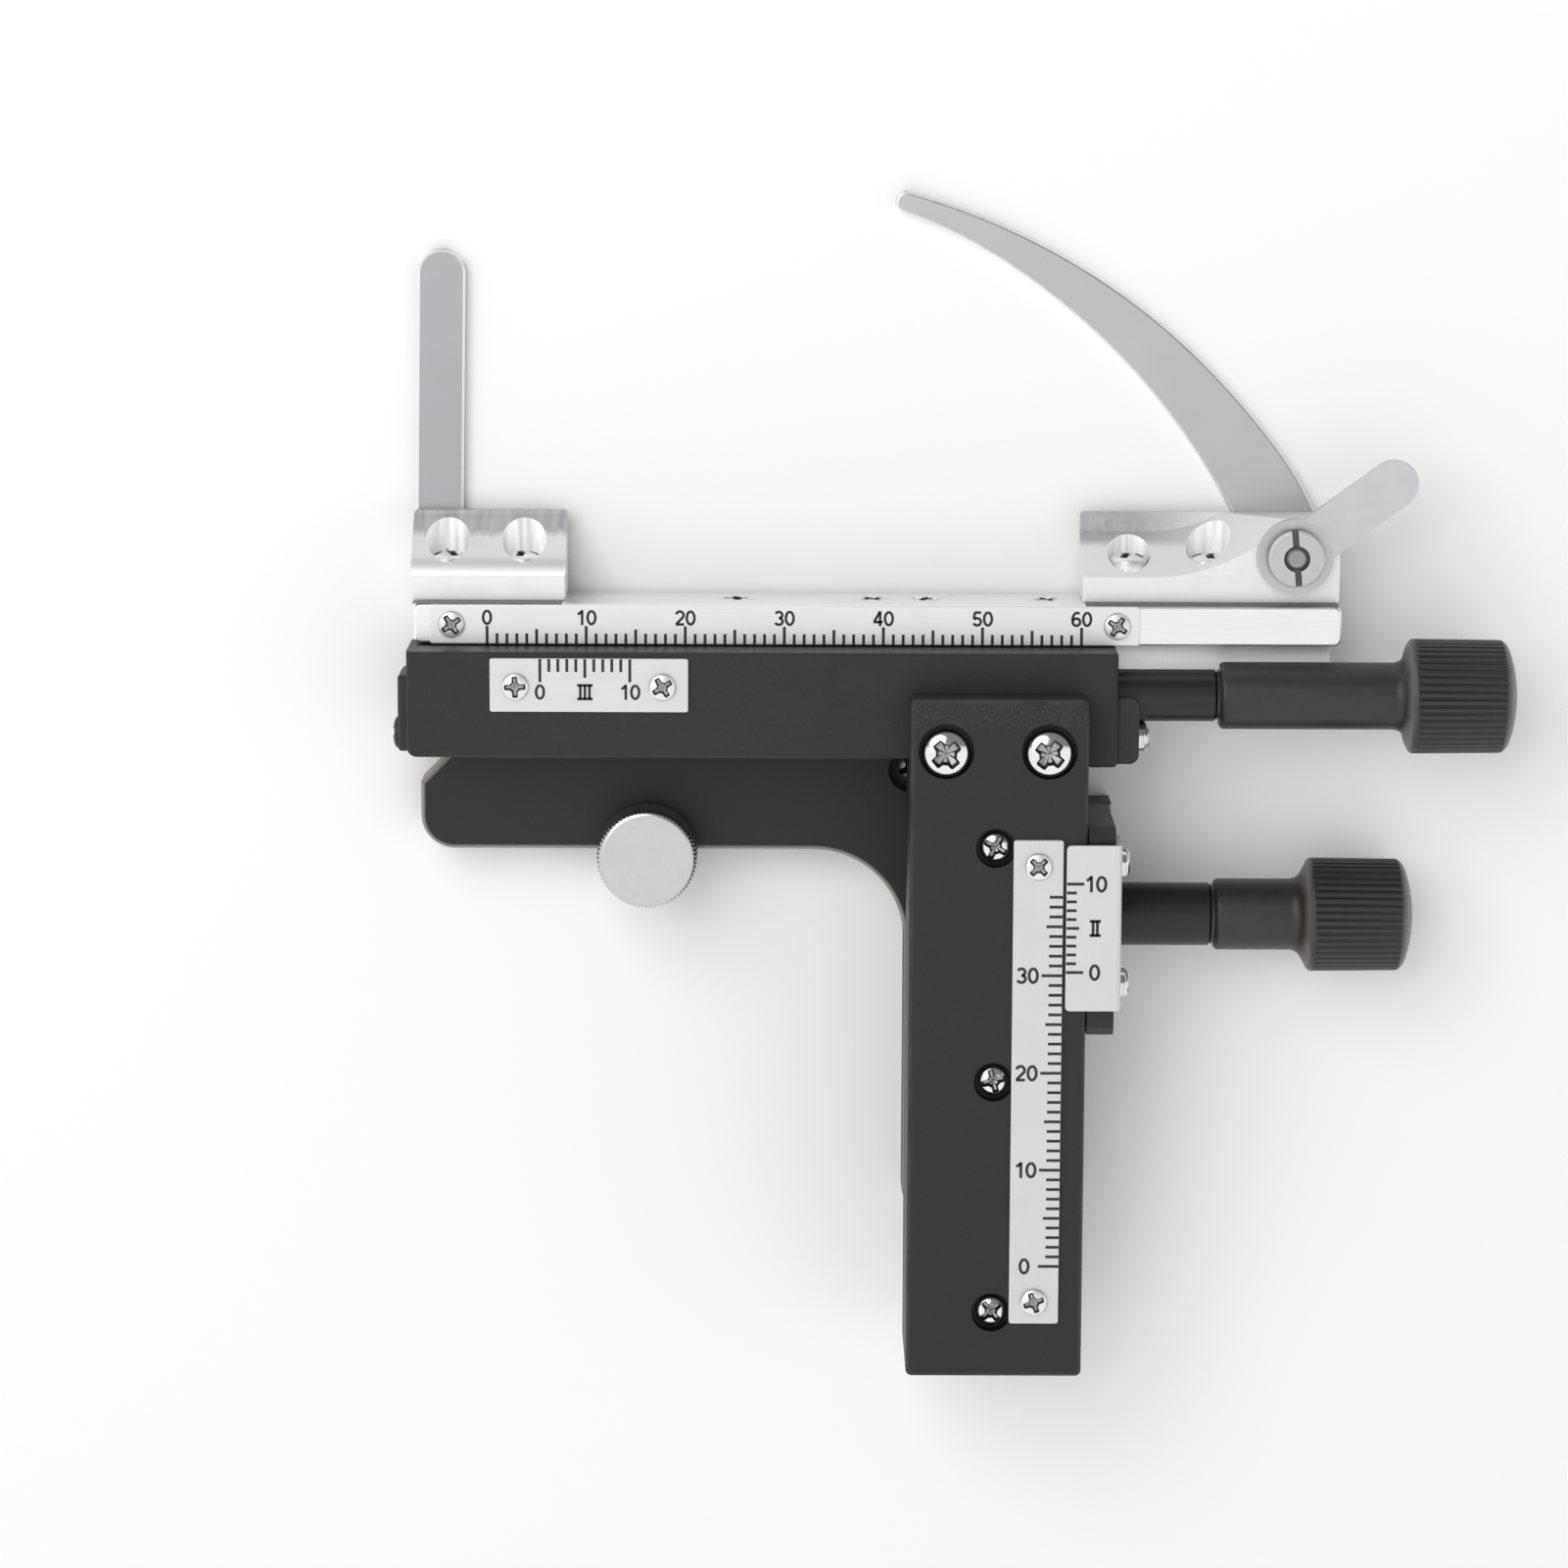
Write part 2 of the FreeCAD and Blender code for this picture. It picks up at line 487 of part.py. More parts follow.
def knurl(body, name, role, radius, depth, count, start, stop, axis, base):
    """Straight knurling: one V groove cut along the axis and repeated round it."""
    sketch = flat_sketch(body, name + "_groove", role, [
        (radius + " - %g" % depth, "0"), (radius + " + 0.2", "%g" % (depth + 0.12)),
        (radius + " + 0.2", "-%g" % (depth + 0.12))])
    sketch.setExpression("AttachmentOffset.Base.z", formula(start))
    doc.recompute()
    pocket = body.newObject("PartDesign::Pocket", name + "_flute")
    pocket.Profile = sketch
    pocket.Type = 0
    bind(pocket, {"Length": "(%s) - (%s)" % (stop, start)})
    pocket.Reversed = True
    doc.recompute()
    pattern = body.newObject("PartDesign::PolarPattern", name + "_knurl")
    pattern.Originals = [pocket]
    pattern.Axis = (origin_feature(body, axis), [""])
    pattern.Angle = 360
    pattern.Occurrences = count
    body.Tip = pattern
    doc.recompute()
    if body.Shape.Volume > base.Shape.Volume - 1:
        raise RuntimeError(name + ": the knurl cut nothing")


# ------------------------------------------------------------------ longways slide
def mirror_x(points):
    """The points of a half outline about the slide's centre, completed on the other side."""
    left = [("slide_centre - (%s)" % x, z) for x, z in points]
    right = [("slide_centre + (%s)" % x, z) for x, z in reversed(points)]
    return left + right


def y_way_block():
    """Two dovetail ways joined by a floor, fixed on the limb."""
    stock = box("way_stock", ("way_left", "way_right"), ("way_near", "way_far"), ("plate_thick", "way_top"))
    gap = "slide_gap"
    channel = prism("way_channel", "XZ", mirror_x([
        ("channel_half", "plate_thick + 1.0"), ("channel_half", "channel_shoulder"),
        ("dovetail_wide + " + gap, "channel_shoulder"),
        ("dovetail_narrow + " + gap, "way_top + 0.3")]), "way_near - 1", "way_far + 1")
    bored = cut("y_way_block", stock, channel,
                rod("way_gear_room", "X", PINION_AT, "gear_bore_radius", "way_gear_start", "way_right + 1"),
                rod("way_bearing", "X", PINION_AT, "shaft_radius + running_gap", "way_left + 1.2",
                    "way_bearing_end"),
                *[rod("way_tap_%d" % i, "Z", at, "way_screw_shank + 0.05", "plate_thick - 1",
                      "way_screw_reach + 0.5")
                  for i, at in enumerate(way_screw_places())])
    return node(bored)


def underside_screws(name, places, kind):
    """Countersunk screws let in flush from below."""
    return node(group(name, [screw("%s_%d" % (name, i), "-Z", (x, y, "0"), kind, True)
                             for i, (x, y) in enumerate(places)]))


def bracket_screw():
    """Pan-head screw in the pocket of the arm."""
    return node(screw("bracket_screw", "+Z", ("pocket_across", "pocket_along", "pocket_floor"),
                      "pocket_screw"))


def y_block():
    """Cover block: an inverted channel over the ways, with a tongue that reaches over the body."""
    deep = prism("block_deep", "XZ", [
        ("block_left", "block_low"), ("block_left", "block_top"), ("block_right", "block_top"),
        ("block_right", "block_right_low"), ("block_right - block_skirt", "block_right_low"),
        ("block_right - block_skirt", "rack_top"), ("block_left + block_skirt", "rack_top"),
        ("block_left + block_skirt", "block_low")], "block_near", "block_step")
    tongue = box("block_tongue", ("block_left", "block_right"), ("block_step - 1", "block_far"),
                 ("body_top", "block_top"))
    whole = fuse("block_whole", deep, tongue)
    soft = rounded("block_soft", whole, size("block_round"),
                   lambda e: (at_height(e, size("block_top"))
                              or (upright(e) and box_of(e).ZMax > size("block_top") - NEAR)))
    big = [rod("big_sink_%d" % i, "Z", ("big_screw_centre + %d * big_screw_half" % side, "big_sink_along"),
               "big_sink_radius", "block_top - big_sink_depth", "block_top + 1")
           for i, side in enumerate((-1, 1))]
    big += [rod("big_hole_%d" % i, "Z", ("big_screw_centre + %d * big_screw_half" % side, "big_screw_along"),
                "body_screw_shank + 0.1", "body_top - 1", "block_top") for i, side in enumerate((-1, 1))]
    small = []
    for i in range(3):
        at = ("slide_centre", "small_screw_far - %d * small_screw_pitch" % i)
        small.append(rod("small_sink_%d" % i, "Z", at, "small_sink_radius", "block_top - small_sink_depth",
                         "block_top + 1"))
        small.append(rod("small_hole_%d" % i, "Z", at, "rack_screw_shank + 0.05", "rack_top - 1",
                         "block_top"))
    taps = [rod("scale_tap_%d" % i, "Z", (LONG_SCALE_MID, y), "long_scale_screw_shank", "block_top - 2.9",
                "block_top + 1")
            for i, y in enumerate(("long_scale_screw_far", "long_scale_screw_near"))]
    return node(cut("y_block", soft, *big, *small, *taps))


LONG_SCALE_MID = "(long_scale_left + long_scale_right) / 2"
RAIL_MID = "(rail_near + rail_far) / 2"


def y_rack():
    """Dovetail slide with a rack along its underside, hung under the cover block."""
    body = doc.addObject("PartDesign::Body", "y_rack")
    pitch_line = "(pinion_height + gear_module * gear_teeth / 2)"
    root, tip = pitch_line + " + rack_dedendum", pitch_line + " - rack_addendum"
    sketch = flat_sketch(body, "rack_section", "XZ_Plane", mirror_x([
        ("rack_half", tip), ("rack_half", root), ("dovetail_wide", root), ("dovetail_narrow", "rack_top")]))
    bar = body.newObject("PartDesign::Pad", "rack_bar")
    bar.Profile = sketch
    bar.Reversed = True
    bind(bar, {"Length": "rack_far - rack_near"})
    sketch.setExpression("AttachmentOffset.Base.z", formula("-rack_near"))
    sketch.Visibility = False
    doc.recompute()
    flank = math.tan(math.radians(size("pressure_angle")))
    pitch = "(%.9f * gear_module)" % math.pi
    half_at_line = "(%s / 4 + tooth_backlash / 2)" % pitch
    first = "(pinion_along + %d * %s)" % (teeth_ahead(), pitch)
    deep, shallow = "(%s)" % root, "(%s - 0.2)" % tip
    half_root = "(%s - rack_dedendum * %.6f)" % (half_at_line, flank)
    half_mouth = "(%s + (rack_addendum + 0.2) * %.6f)" % (half_at_line, flank)
    gap = flat_sketch(body, "rack_gap", "YZ_Plane", [
        (first + " - " + half_mouth, shallow), (first + " - " + half_root, deep),
        (first + " + " + half_root, deep), (first + " + " + half_mouth, shallow)])
    pocket = body.newObject("PartDesign::Pocket", "rack_tooth_gap")
    pocket.Profile = gap
    pocket.Type = 0
    pocket.Reversed = True
    bind(pocket, {"Length": "slide_centre + 4"})
    doc.recompute()
    row = body.newObject("PartDesign::LinearPattern", "rack_teeth")
    row.Originals = [pocket]
    row.Direction = (origin_feature(body, "Y_Axis"), [""])
    row.Reversed = True
    count = int((size("rack_far") - size("rack_near")) / (math.pi * size("gear_module"))) - 1
    row.Occurrences = count
    row.Length = (count - 1) * math.pi * size("gear_module")
    body.Tip = row
    doc.recompute()
    if body.Shape.Volume > bar.Shape.Volume - 5:
        raise RuntimeError("the rack has no teeth")
    taps = [rod("rack_tap_%d" % i, "Z", ("slide_centre", "small_screw_far - %d * small_screw_pitch" % i),
                "rack_screw_shank", "rack_tap_low", "rack_top + 1") for i in range(3)]
    body.Label = "rack_blank"
    return node(cut("y_dovetail_rack", body, *taps))


def teeth_ahead():
    """Whole pitches between the pinion and the far end of the rack."""
    return int((size("rack_far") - size("pinion_along")) / (math.pi * size("gear_module"))) - 1


def y_rack_screws():
    """Three pan-head screws down through the block into the rack."""
    return node(group("y_rack_screws", [
        screw("rack_screw_%d" % i, "+Z", ("slide_centre", "small_screw_far - %d * small_screw_pitch" % i,
                                          "block_top - small_sink_depth"), "rack_screw") for i in range(3)]))


def x_body_screws():
    """Two large pan-head screws down through the block's tongue into the body."""
    return node(group("x_body_screws", [
        screw("body_screw_%d" % i, "+Z", ("big_screw_centre + %d * big_screw_half" % side, "big_screw_along",
                                          "block_top - big_sink_depth"), "body_screw")
        for i, side in enumerate((-1, 1))]))


def pinion_housing():
    """Upright block at the limb's right edge that holds the pinion's bearing tube."""
    stock = box("housing_stock", ("housing_left", "housing_right"), ("housing_near", "housing_far"),
                ("plate_thick", "housing_top"))
    soft = rounded("housing_soft", stock, size("housing_bevel"), lambda e: at_height(e, size("housing_top"))
                   and box_of(e).XLength > 1, "Part::Chamfer")
    return node(cut("pinion_housing", soft,
                    rod("housing_bore", "X", PINION_AT, "gear_bore_radius + 0.02", "housing_left - 1",
                        "housing_right + 1"),
                    *[rod("housing_tap_%d" % i, "Z", at, "housing_screw_shank + 0.05", "plate_thick - 1",
                          "housing_screw_reach + 0.5")
                      for i, at in enumerate(housing_screw_places())],
                    *[rod("leg_tap_%d" % i, "X", at, "leg_screw_shank", "housing_left + 0.2",
                          "housing_right + 1")
                      for i, at in enumerate(leg_screw_places())]))


def leg_screw_places():
    """Centres of the screws through the vernier's leg, on Y and Z."""
    return [("leg_screw_centre + %d * leg_screw_half" % side, "leg_screw_height") for side in (-1, 1)]


def y_vernier_plate():
    """Bent plate: its short scale lies beside the long scale, its leg hangs on the housing."""
    low = "block_top + vernier_lift"
    high = low + " + vernier_sheet"
    along_y = ("long_vernier_near", "long_vernier_far")
    top = box("vernier_leaf", ("long_vernier_left", "long_vernier_right"), along_y, (low, high))
    leg = box("vernier_leg", ("housing_right", "long_vernier_right"), along_y, ("leg_low", high))
    joined = fuse("vernier_bent", top, leg)
    bend = (size("long_vernier_right"), value_of(high))
    outer = rounded("vernier_bend", joined, size("vernier_bend_round"),
                    lambda e: at_height(e, bend[1]) and abs(box_of(e).XMin - bend[0]) < NEAR
                    and box_of(e).YLength > size("long_vernier_far"))
    soft = rounded("vernier_corners", outer, size("vernier_corner"),
                   lambda e: upright(e) and abs(box_of(e).XMax - size("long_vernier_left")) < NEAR)
    return node(cut("y_vernier_plate", soft,
                    *[rod("leg_hole_%d" % i, "X", at, "leg_screw_shank + 0.05", "housing_right - 1",
                          "long_vernier_right + 1") for i, at in enumerate(leg_screw_places())]))


def y_vernier_screws():
    """Two pan-head screws through the vernier's leg."""
    return node(group("y_vernier_screws", [
        screw("leg_screw_%d" % i, "+X", ("long_vernier_right", *at), "leg_screw")
        for i, at in enumerate(leg_screw_places())]))


def bearing_tube(name, at, radius, start, *shoulder):
    """Tube that a drive shaft turns in; the longways one has a shoulder let into its housing."""
    barrel = rod(name + "_barrel", "X", at, radius, start, "tube_end")
    outer = fuse(name + "_outer", barrel, *shoulder) if shoulder else barrel
    soft = rounded(name + "_soft", outer, size("tube_bevel"),
                   lambda e: abs(box_of(e).XMin - size("tube_end")) < NEAR and box_of(e).XLength < NEAR,
                   "Part::Chamfer")
    return node(cut(name, soft, rod(name + "_bore", "X", at, "shaft_radius + running_gap", start + " - 1",
                                    "tube_end + 1")))


def involute(radius_base, angle):
    """A point of the involute of a circle, unwound by an angle."""
    return (radius_base * (math.cos(angle) + angle * math.sin(angle)),
            radius_base * (math.sin(angle) - angle * math.cos(angle)))


def pinion_outline():
    """Closed wire of the pinion: each flank one arc through three points of its involute."""
    module, teeth = size("gear_module"), int(size("gear_teeth"))
    pitch_radius = module * teeth / 2
    base = pitch_radius * math.cos(math.radians(size("pressure_angle")))
    tip, root = pitch_radius + 0.8 * module, pitch_radius - size("rack_addendum") - 0.15
    unwound = math.sqrt((tip / base) ** 2 - 1)
    at_pitch = math.sqrt((pitch_radius / base) ** 2 - 1)
    pitch_turn = at_pitch - math.atan(at_pitch)
    half = math.pi / (2 * teeth) - size("tooth_backlash") / (2 * pitch_radius) + pitch_turn

    def spot(radius, angle):
        return Vec(0, radius * math.sin(angle), radius * math.cos(angle))

    def flank(angle, side, centre):
        x, y = involute(base, angle)
        return spot(math.hypot(x, y), centre + side * (half - math.atan2(y, x)))

    edges = []
    step = 2 * math.pi / teeth
    for tooth in range(teeth):
        centre = tooth * step
        left = [flank(a, -1, centre) for a in (0, unwound * 0.6, unwound)]
        right = [flank(a, 1, centre) for a in (unwound, unwound * 0.6, 0)]
        foot_left, foot_right = spot(root, centre - half), spot(root, centre + half)
        next_foot = spot(root, centre + step - half)
        edges += [Part.LineSegment(foot_left, left[0]).toShape(), Part.Arc(*left).toShape(),
                  Part.Arc(left[2], spot(tip, centre), right[0]).toShape(), Part.Arc(*right).toShape(),
                  Part.LineSegment(right[2], foot_right).toShape(),
                  Part.Arc(foot_right, spot(root, centre + step / 2), next_foot).toShape()]
    return Part.Wire(edges)


def y_pinion_shaft():
    """Pinion cut in one with its shaft."""
    gear = doc.addObject("Part::Feature", "pinion_gear")
    solid = Part.Face(pinion_outline()).extrude(Vec(size("pinion_end") - size("pinion_start"), 0, 0))
    gear.Shape = solid
    place(gear, "pinion_start", *PINION_AT)
    shaft = rod("pinion_stem", "X", PINION_AT, "shaft_radius", "way_left + 1.4",
                "long_knob_end - knob_bore_end")
    return node(fuse("y_pinion_shaft", gear, shaft))


def drive_knob(name, at, start, sleeve, sleeve_end, knob_start, knob_end):
    """Sleeve and knurled knob in one piece, blind bored for its shaft."""
    body = doc.addObject("PartDesign::Body", name)
    rim, bore = "knob_radius", "shaft_radius"
    turn = revolve_feature(body, name + "_turn", "XZ_Plane", [
        (start, bore), (start, sleeve + " - 0.45"), (start + " + 0.45", sleeve), (sleeve_end, sleeve),
        (sleeve_end + " + 0.5", sleeve + " + 0.35"), (knob_start + " - 0.1", "knob_radius - 0.75"),
        (knob_start, rim + " - 0.3"), (knob_start + " + 0.3", rim), (knob_end + " - 1.5", rim + " - 0.12"),
        (knob_end + " - 0.95", rim + " - 0.6"), (knob_end + " - 0.35", rim + " - 2.2"),
        (knob_end, rim + " - 4.4"), (knob_end, "0"), (knob_end + " - knob_bore_end", "0"),
        (knob_end + " - knob_bore_end", bore)],
        "H_Axis")
    knurl(body, name, "YZ_Plane", rim, size("knob_flute"), int(size("knob_grooves")), knob_start + " - 0.2",
          knob_end + " - 0.8", "X_Axis", turn)
    return node(place(body, "0", *at))


def drive_washer(name, at, start, outer):
    """Thin washer between a bearing tube and its knob."""
    return node(ring(name, "X", at, outer, "shaft_radius + running_gap", start,
                     start + " + drive_washer_thick"))


# ------------------------------------------------------------------ graduated plates
def scale_plate(name, x, y, z, holes, corner="plate_corner"):
    """Thin plate with rounded corners and screw holes; the graduation is printed on it."""
    stock = box(name + "_stock", x, y, z)
    cornered = rounded(name + "_corners", stock, size(corner), upright)
    soft = rounded(name + "_break", cornered, size("plate_break"), lambda e: at_height(e, value_of(z[1])))
    return node(cut(name, soft, *[rod("%s_hole_%d" % (name, i), "Z", at, "long_scale_screw_shank + 0.05",
                                      z[0] + " - 1", z[1] + " + 1") for i, at in enumerate(holes)]))


def plate_screws(name, places, seat, kind):
    """Two small pan-head screws that hold a graduated plate."""
    return node(group(name, [screw("%s_%d" % (name, i), "+Z", (x, y, seat), kind)
                             for i, (x, y) in enumerate(places)]))


def graduated_plates():
    """The two scales and the crossways vernier, with their screws."""
    places = [(LONG_SCALE_MID, "long_scale_screw_far"), (LONG_SCALE_MID, "long_scale_screw_near")]
    scale_plate("y_scale_plate", ("long_scale_left", "long_scale_right"),
                ("long_scale_near", "long_scale_far"), ("block_top", "block_top + plate_sheet"), places)
    plate_screws("y_scale_screws", places, "block_top + plate_sheet", "long_scale_screw")
    places = [("cross_vernier_screw_left", "cross_vernier_screw"),
              ("cross_vernier_screw_right", "cross_vernier_screw")]
    scale_plate("x_vernier_plate", ("cross_vernier_left", "cross_vernier_right"),
                ("cross_vernier_near", "cross_vernier_far"), ("body_top", "body_top + plate_sheet"), places,
                "cross_vernier_corner")
    plate_screws("x_vernier_screws", places, "body_top + plate_sheet", "cross_vernier_screw")
    places = [("cross_scale_screw_left", RAIL_MID), ("cross_scale_screw_right", RAIL_MID)]
    scale_plate("x_scale_plate", ("cross_scale_left", "cross_scale_right"),
                ("rail_near + 0.05", "rail_far - 0.05"), ("rail_top", "rail_top + plate_sheet"), places)
    plate_screws("x_scale_screws", places, "rail_top + plate_sheet", "cross_scale_screw")


# ------------------------------------------------------------------ crossways slide
def strip_outline(gap):
    """Half-dovetail outline of the rail's strip in the YZ plane, grown by a gap."""
    flare, neck = "(strip_flare + %s)" % gap, "(strip_neck + %s)" % gap
    return [("strip_inner - %s" % gap, "strip_height - " + flare), ("rail_near", "strip_height - " + neck),
            ("rail_near", "strip_height + " + neck), ("strip_inner - %s" % gap, "strip_height + " + flare)]


def x_body():
    """Crossways body: dovetail slot on its far side, lead-screw channel, lip over the arm."""
    span = ("body_left", "body_right")
    main = box("body_main", span, ("body_lip_far", "body_far"), ("body_low", "body_top"))
    lip = box("body_lip", span, ("body_near", "body_lip_far + 1"), ("body_lip_low", "body_top"))
    pad = box("body_pad", ("body_pad_left", "body_right"), ("body_pad_near", "body_near + 1"),
              ("body_lip_low", "body_top"))
    whole = fuse("body_whole", main, lip, pad)
    near_left = rounded("body_near_left", whole, size("body_corner"),
                        lambda e: edge_key(e) == corner_key("body_left", "body_near"))
    inner = corner_key("body_pad_left", "body_near")

    def radius(edge):
        far = box_of(edge).YMin > size("body_far") - NEAR
        return size("body_far_round") if far else size("body_round")

    soft = rounded("body_soft", near_left, radius, lambda e: at_height(e, size("body_top")) or (
        upright(e) and box_of(e).XMax > 0 and edge_key(e) != inner))
    slot = prism("body_slot", "YZ", strip_outline("slide_gap"), "body_left - 1", "body_right + 1")
    mouth = box("body_mouth", ("body_left - 1", "body_right + 1"), ("rail_near - 0.5", "rail_near + 1"),
                ("strip_height - strip_neck - 0.2", "strip_height + strip_neck + 0.2"))
    taps = [rod("body_tap_%d" % i, "Z", ("big_screw_centre + %d * big_screw_half" % side, "big_screw_along"),
                "body_screw_shank + 0.03", "body_tap_low", "body_top + 1") for i, side in enumerate((-1, 1))]
    taps += [rod("vernier_tap_%d" % i, "Z", (x, "cross_vernier_screw"), "cross_vernier_screw_shank",
                 "channel_top - 0.5", "body_top + 1")
             for i, x in enumerate(("cross_vernier_screw_left", "cross_vernier_screw_right"))]
    return node(cut("x_body", soft, slot, mouth,
                    box("body_channel", ("body_left - 1", "channel_end"), ("channel_near", "channel_far"),
                        ("channel_low", "channel_top")),
                    rod("body_tube_seat", "X", DRIVE_AT, "cross_tube_radius + 0.02", "channel_end - 1",
                        "body_right + 1"),
                    rod("body_left_tap", "X", ("cap_screw_along", "end_screw_height"), "cap_screw_shank",
                        "body_left - 1", "body_left + 5"),
                    rod("body_right_tap", "X", ("end_screw_along", "end_screw_height"), "end_screw_shank",
                        "body_right - 5", "body_right + 1"), *taps))


def x_left_end_cap():
    """Cap that closes the channel and carries the lead screw's left journal."""
    stock = box("cap_stock", ("cap_left", "body_left"), ("cap_near", "cap_far"), ("cap_low", "cap_top"))
    soft = rounded("cap_soft", stock, size("cap_bevel"),
                   lambda e: abs(box_of(e).XMax - size("cap_left")) < NEAR, "Part::Chamfer")
    return node(cut("x_left_end_cap", soft,
                    rod("cap_bearing", "X", DRIVE_AT, "journal_radius + running_gap", "cap_left - 1",
                        "body_left + 1"),
                    rod("cap_hole", "X", ("cap_screw_along", "end_screw_height"), "cap_screw_shank + 0.05",
                        "cap_left - 1", "body_left + 1")))


def x_right_end_plate():
    """Plate that keeps the bearing tube in the body, notched round the tube."""
    stock = box("end_plate_stock", ("body_right", "end_plate_right"), ("end_plate_near", "end_plate_far"),
                ("end_plate_low", "end_plate_top"))
    soft = rounded("end_plate_soft", stock,
                   lambda e: size("end_plate_corner" if upright(e) else "end_plate_round"),
                   lambda e: abs(box_of(e).XMin - size("end_plate_right")) < NEAR)
    return node(cut("x_right_end_plate", soft,
                    rod("end_plate_notch", "X", DRIVE_AT, "cross_tube_radius + 0.03", "body_right - 1",
                        "end_plate_right + 1"),
                    rod("end_plate_hole", "X", ("end_screw_along", "end_screw_height"),
                        "end_screw_shank + 0.05", "body_right - 1", "end_plate_right + 1")))


def x_rail():
    """Long ground rail; a groove in its near face takes the foot of the dovetail strip."""
    stock = box("rail_stock", ("rail_left", "rail_right"), ("rail_near", "rail_far"),
                ("rail_low", "rail_top"))
    ends = rounded("rail_ends", stock, size("rail_corner"), upright)
    soft = rounded("rail_soft", ends, size("rail_round"), lambda e: at_height(e, size("rail_top")))
    tools = [box("rail_groove", ("rail_left - 1", "rail_right + 1"),
                 ("rail_near - 1", "rail_near + strip_foot"),
                 ("strip_height - strip_foot_half", "strip_height + strip_foot_half"))]
    for i, x in enumerate(STRIP_SCREWS):
        at = (x, "strip_height")
        tools.append(rod("strip_hole_%d" % i, "Y", at, "strip_screw_shank + 0.05", "rail_near",
                         "rail_far + 1"))
        tools.append(taper("strip_sink_%d" % i, "Y", at, "strip_screw_shank", "strip_screw_head + 0.05",
                           "rail_far - strip_screw_thick", "rail_far + 0.02"))
    for i, x in enumerate(BLOCK_BORES):
        tools.append(rod("rail_tap_%d" % i, "Y", (x, "strip_height"), "holder_screw_shank",
                         "rail_tap_start", "rail_far + 1"))
    for i, x in enumerate(("cross_scale_screw_left", "cross_scale_screw_right")):
        tools.append(rod("scale_hole_%d" % i, "Z", (x, RAIL_MID), "cross_scale_screw_shank", "rail_top - 2.1",
                         "rail_top + 1"))
    return node(cut("x_rail", soft, *tools))


STRIP_SCREWS = ("strip_screw_one", "strip_screw_two", "strip_screw_three", "strip_screw_four")
BLOCK_BORES = ("left_bore_one", "left_bore_two", "right_bore_one", "right_bore_two")


def x_dovetail_strip():
    """Dovetail strip let into the rail; it slides in the body and carries the nut."""
    blade = prism("strip_blade", "YZ", strip_outline("0"), "rail_left + rail_corner",
                  "rail_right - rail_corner")
    foot = box("strip_foot_bar", ("rail_left + rail_corner", "rail_right - rail_corner"),
               ("rail_near", "rail_near + strip_foot"),
               ("strip_height - strip_foot_half", "strip_height + strip_foot_half"))
    taps = [rod("strip_tap_%d" % i, "Y", (x, "strip_height"), "strip_screw_shank", "strip_tap_start",
                "rail_far")
            for i, x in enumerate(STRIP_SCREWS)]
    seat = box("strip_nut_seat", ("nut_left + 1", "nut_left + nut_length - 1"),
               ("strip_inner - 1", "strip_inner + 1"), ("strip_height - 1", "strip_height + 1"))
    return node(cut("x_dovetail_strip", fuse("strip_whole", blade, foot), seat, *taps))


def x_strip_screws():
    """Four countersunk screws through the rail into the dovetail strip."""
    return node(group("x_strip_screws", [
        screw("strip_screw_%d" % i, "+Y", (x, "rail_far", "strip_height"), "strip_screw", True)
        for i, x in enumerate(STRIP_SCREWS)]))


GROOVE_RUNOUT = 2.0     # how far the groove's cutter runs past each end of the thread


def x_lead_screw():
    """Coarse lead screw: plain journals and one round groove with a long lead."""
    spindle = rod("spindle_thread", "X", DRIVE_AT, "thread_radius", "thread_start", "thread_end")
    left = rod("spindle_left", "X", DRIVE_AT, "journal_radius", "cap_left + 0.1", "thread_start")
    right = rod("spindle_right", "X", DRIVE_AT, "shaft_radius", "thread_end",
                "cross_knob_end - knob_bore_end")
    helix = doc.addObject("Part::Helix", "groove_path")
    bind(helix, {"Pitch": "thread_lead", "Height": "thread_end - thread_start + 2 * %g" % GROOVE_RUNOUT,
                 "Radius": "thread_radius"})
    section = doc.addObject("Part::Circle", "groove_section")
    bind(section, {"Radius": "thread_width"})
    place(section, "thread_radius", "0", "0", FreeCAD.Rotation(Vec(1, 0, 0), 90))
    groove = doc.addObject("Part::Sweep", "groove_cutter")
    groove.Sections, groove.Spine, groove.Solid, groove.Frenet = [section], (helix, ["Edge1"]), True, True
    place(groove, "thread_start - %g" % GROOVE_RUNOUT, *DRIVE_AT, TURN["X"])
    return node(fuse("x_lead_screw", cut("spindle_grooved", spindle, groove), left, right))


def groove_angle(x):
    """Angle round the drive axis, from -Z towards +Y, where the groove stands at a place along it."""
    travel = x - (size("thread_start") - GROOVE_RUNOUT)
    return 2 * math.pi * travel / size("thread_lead")


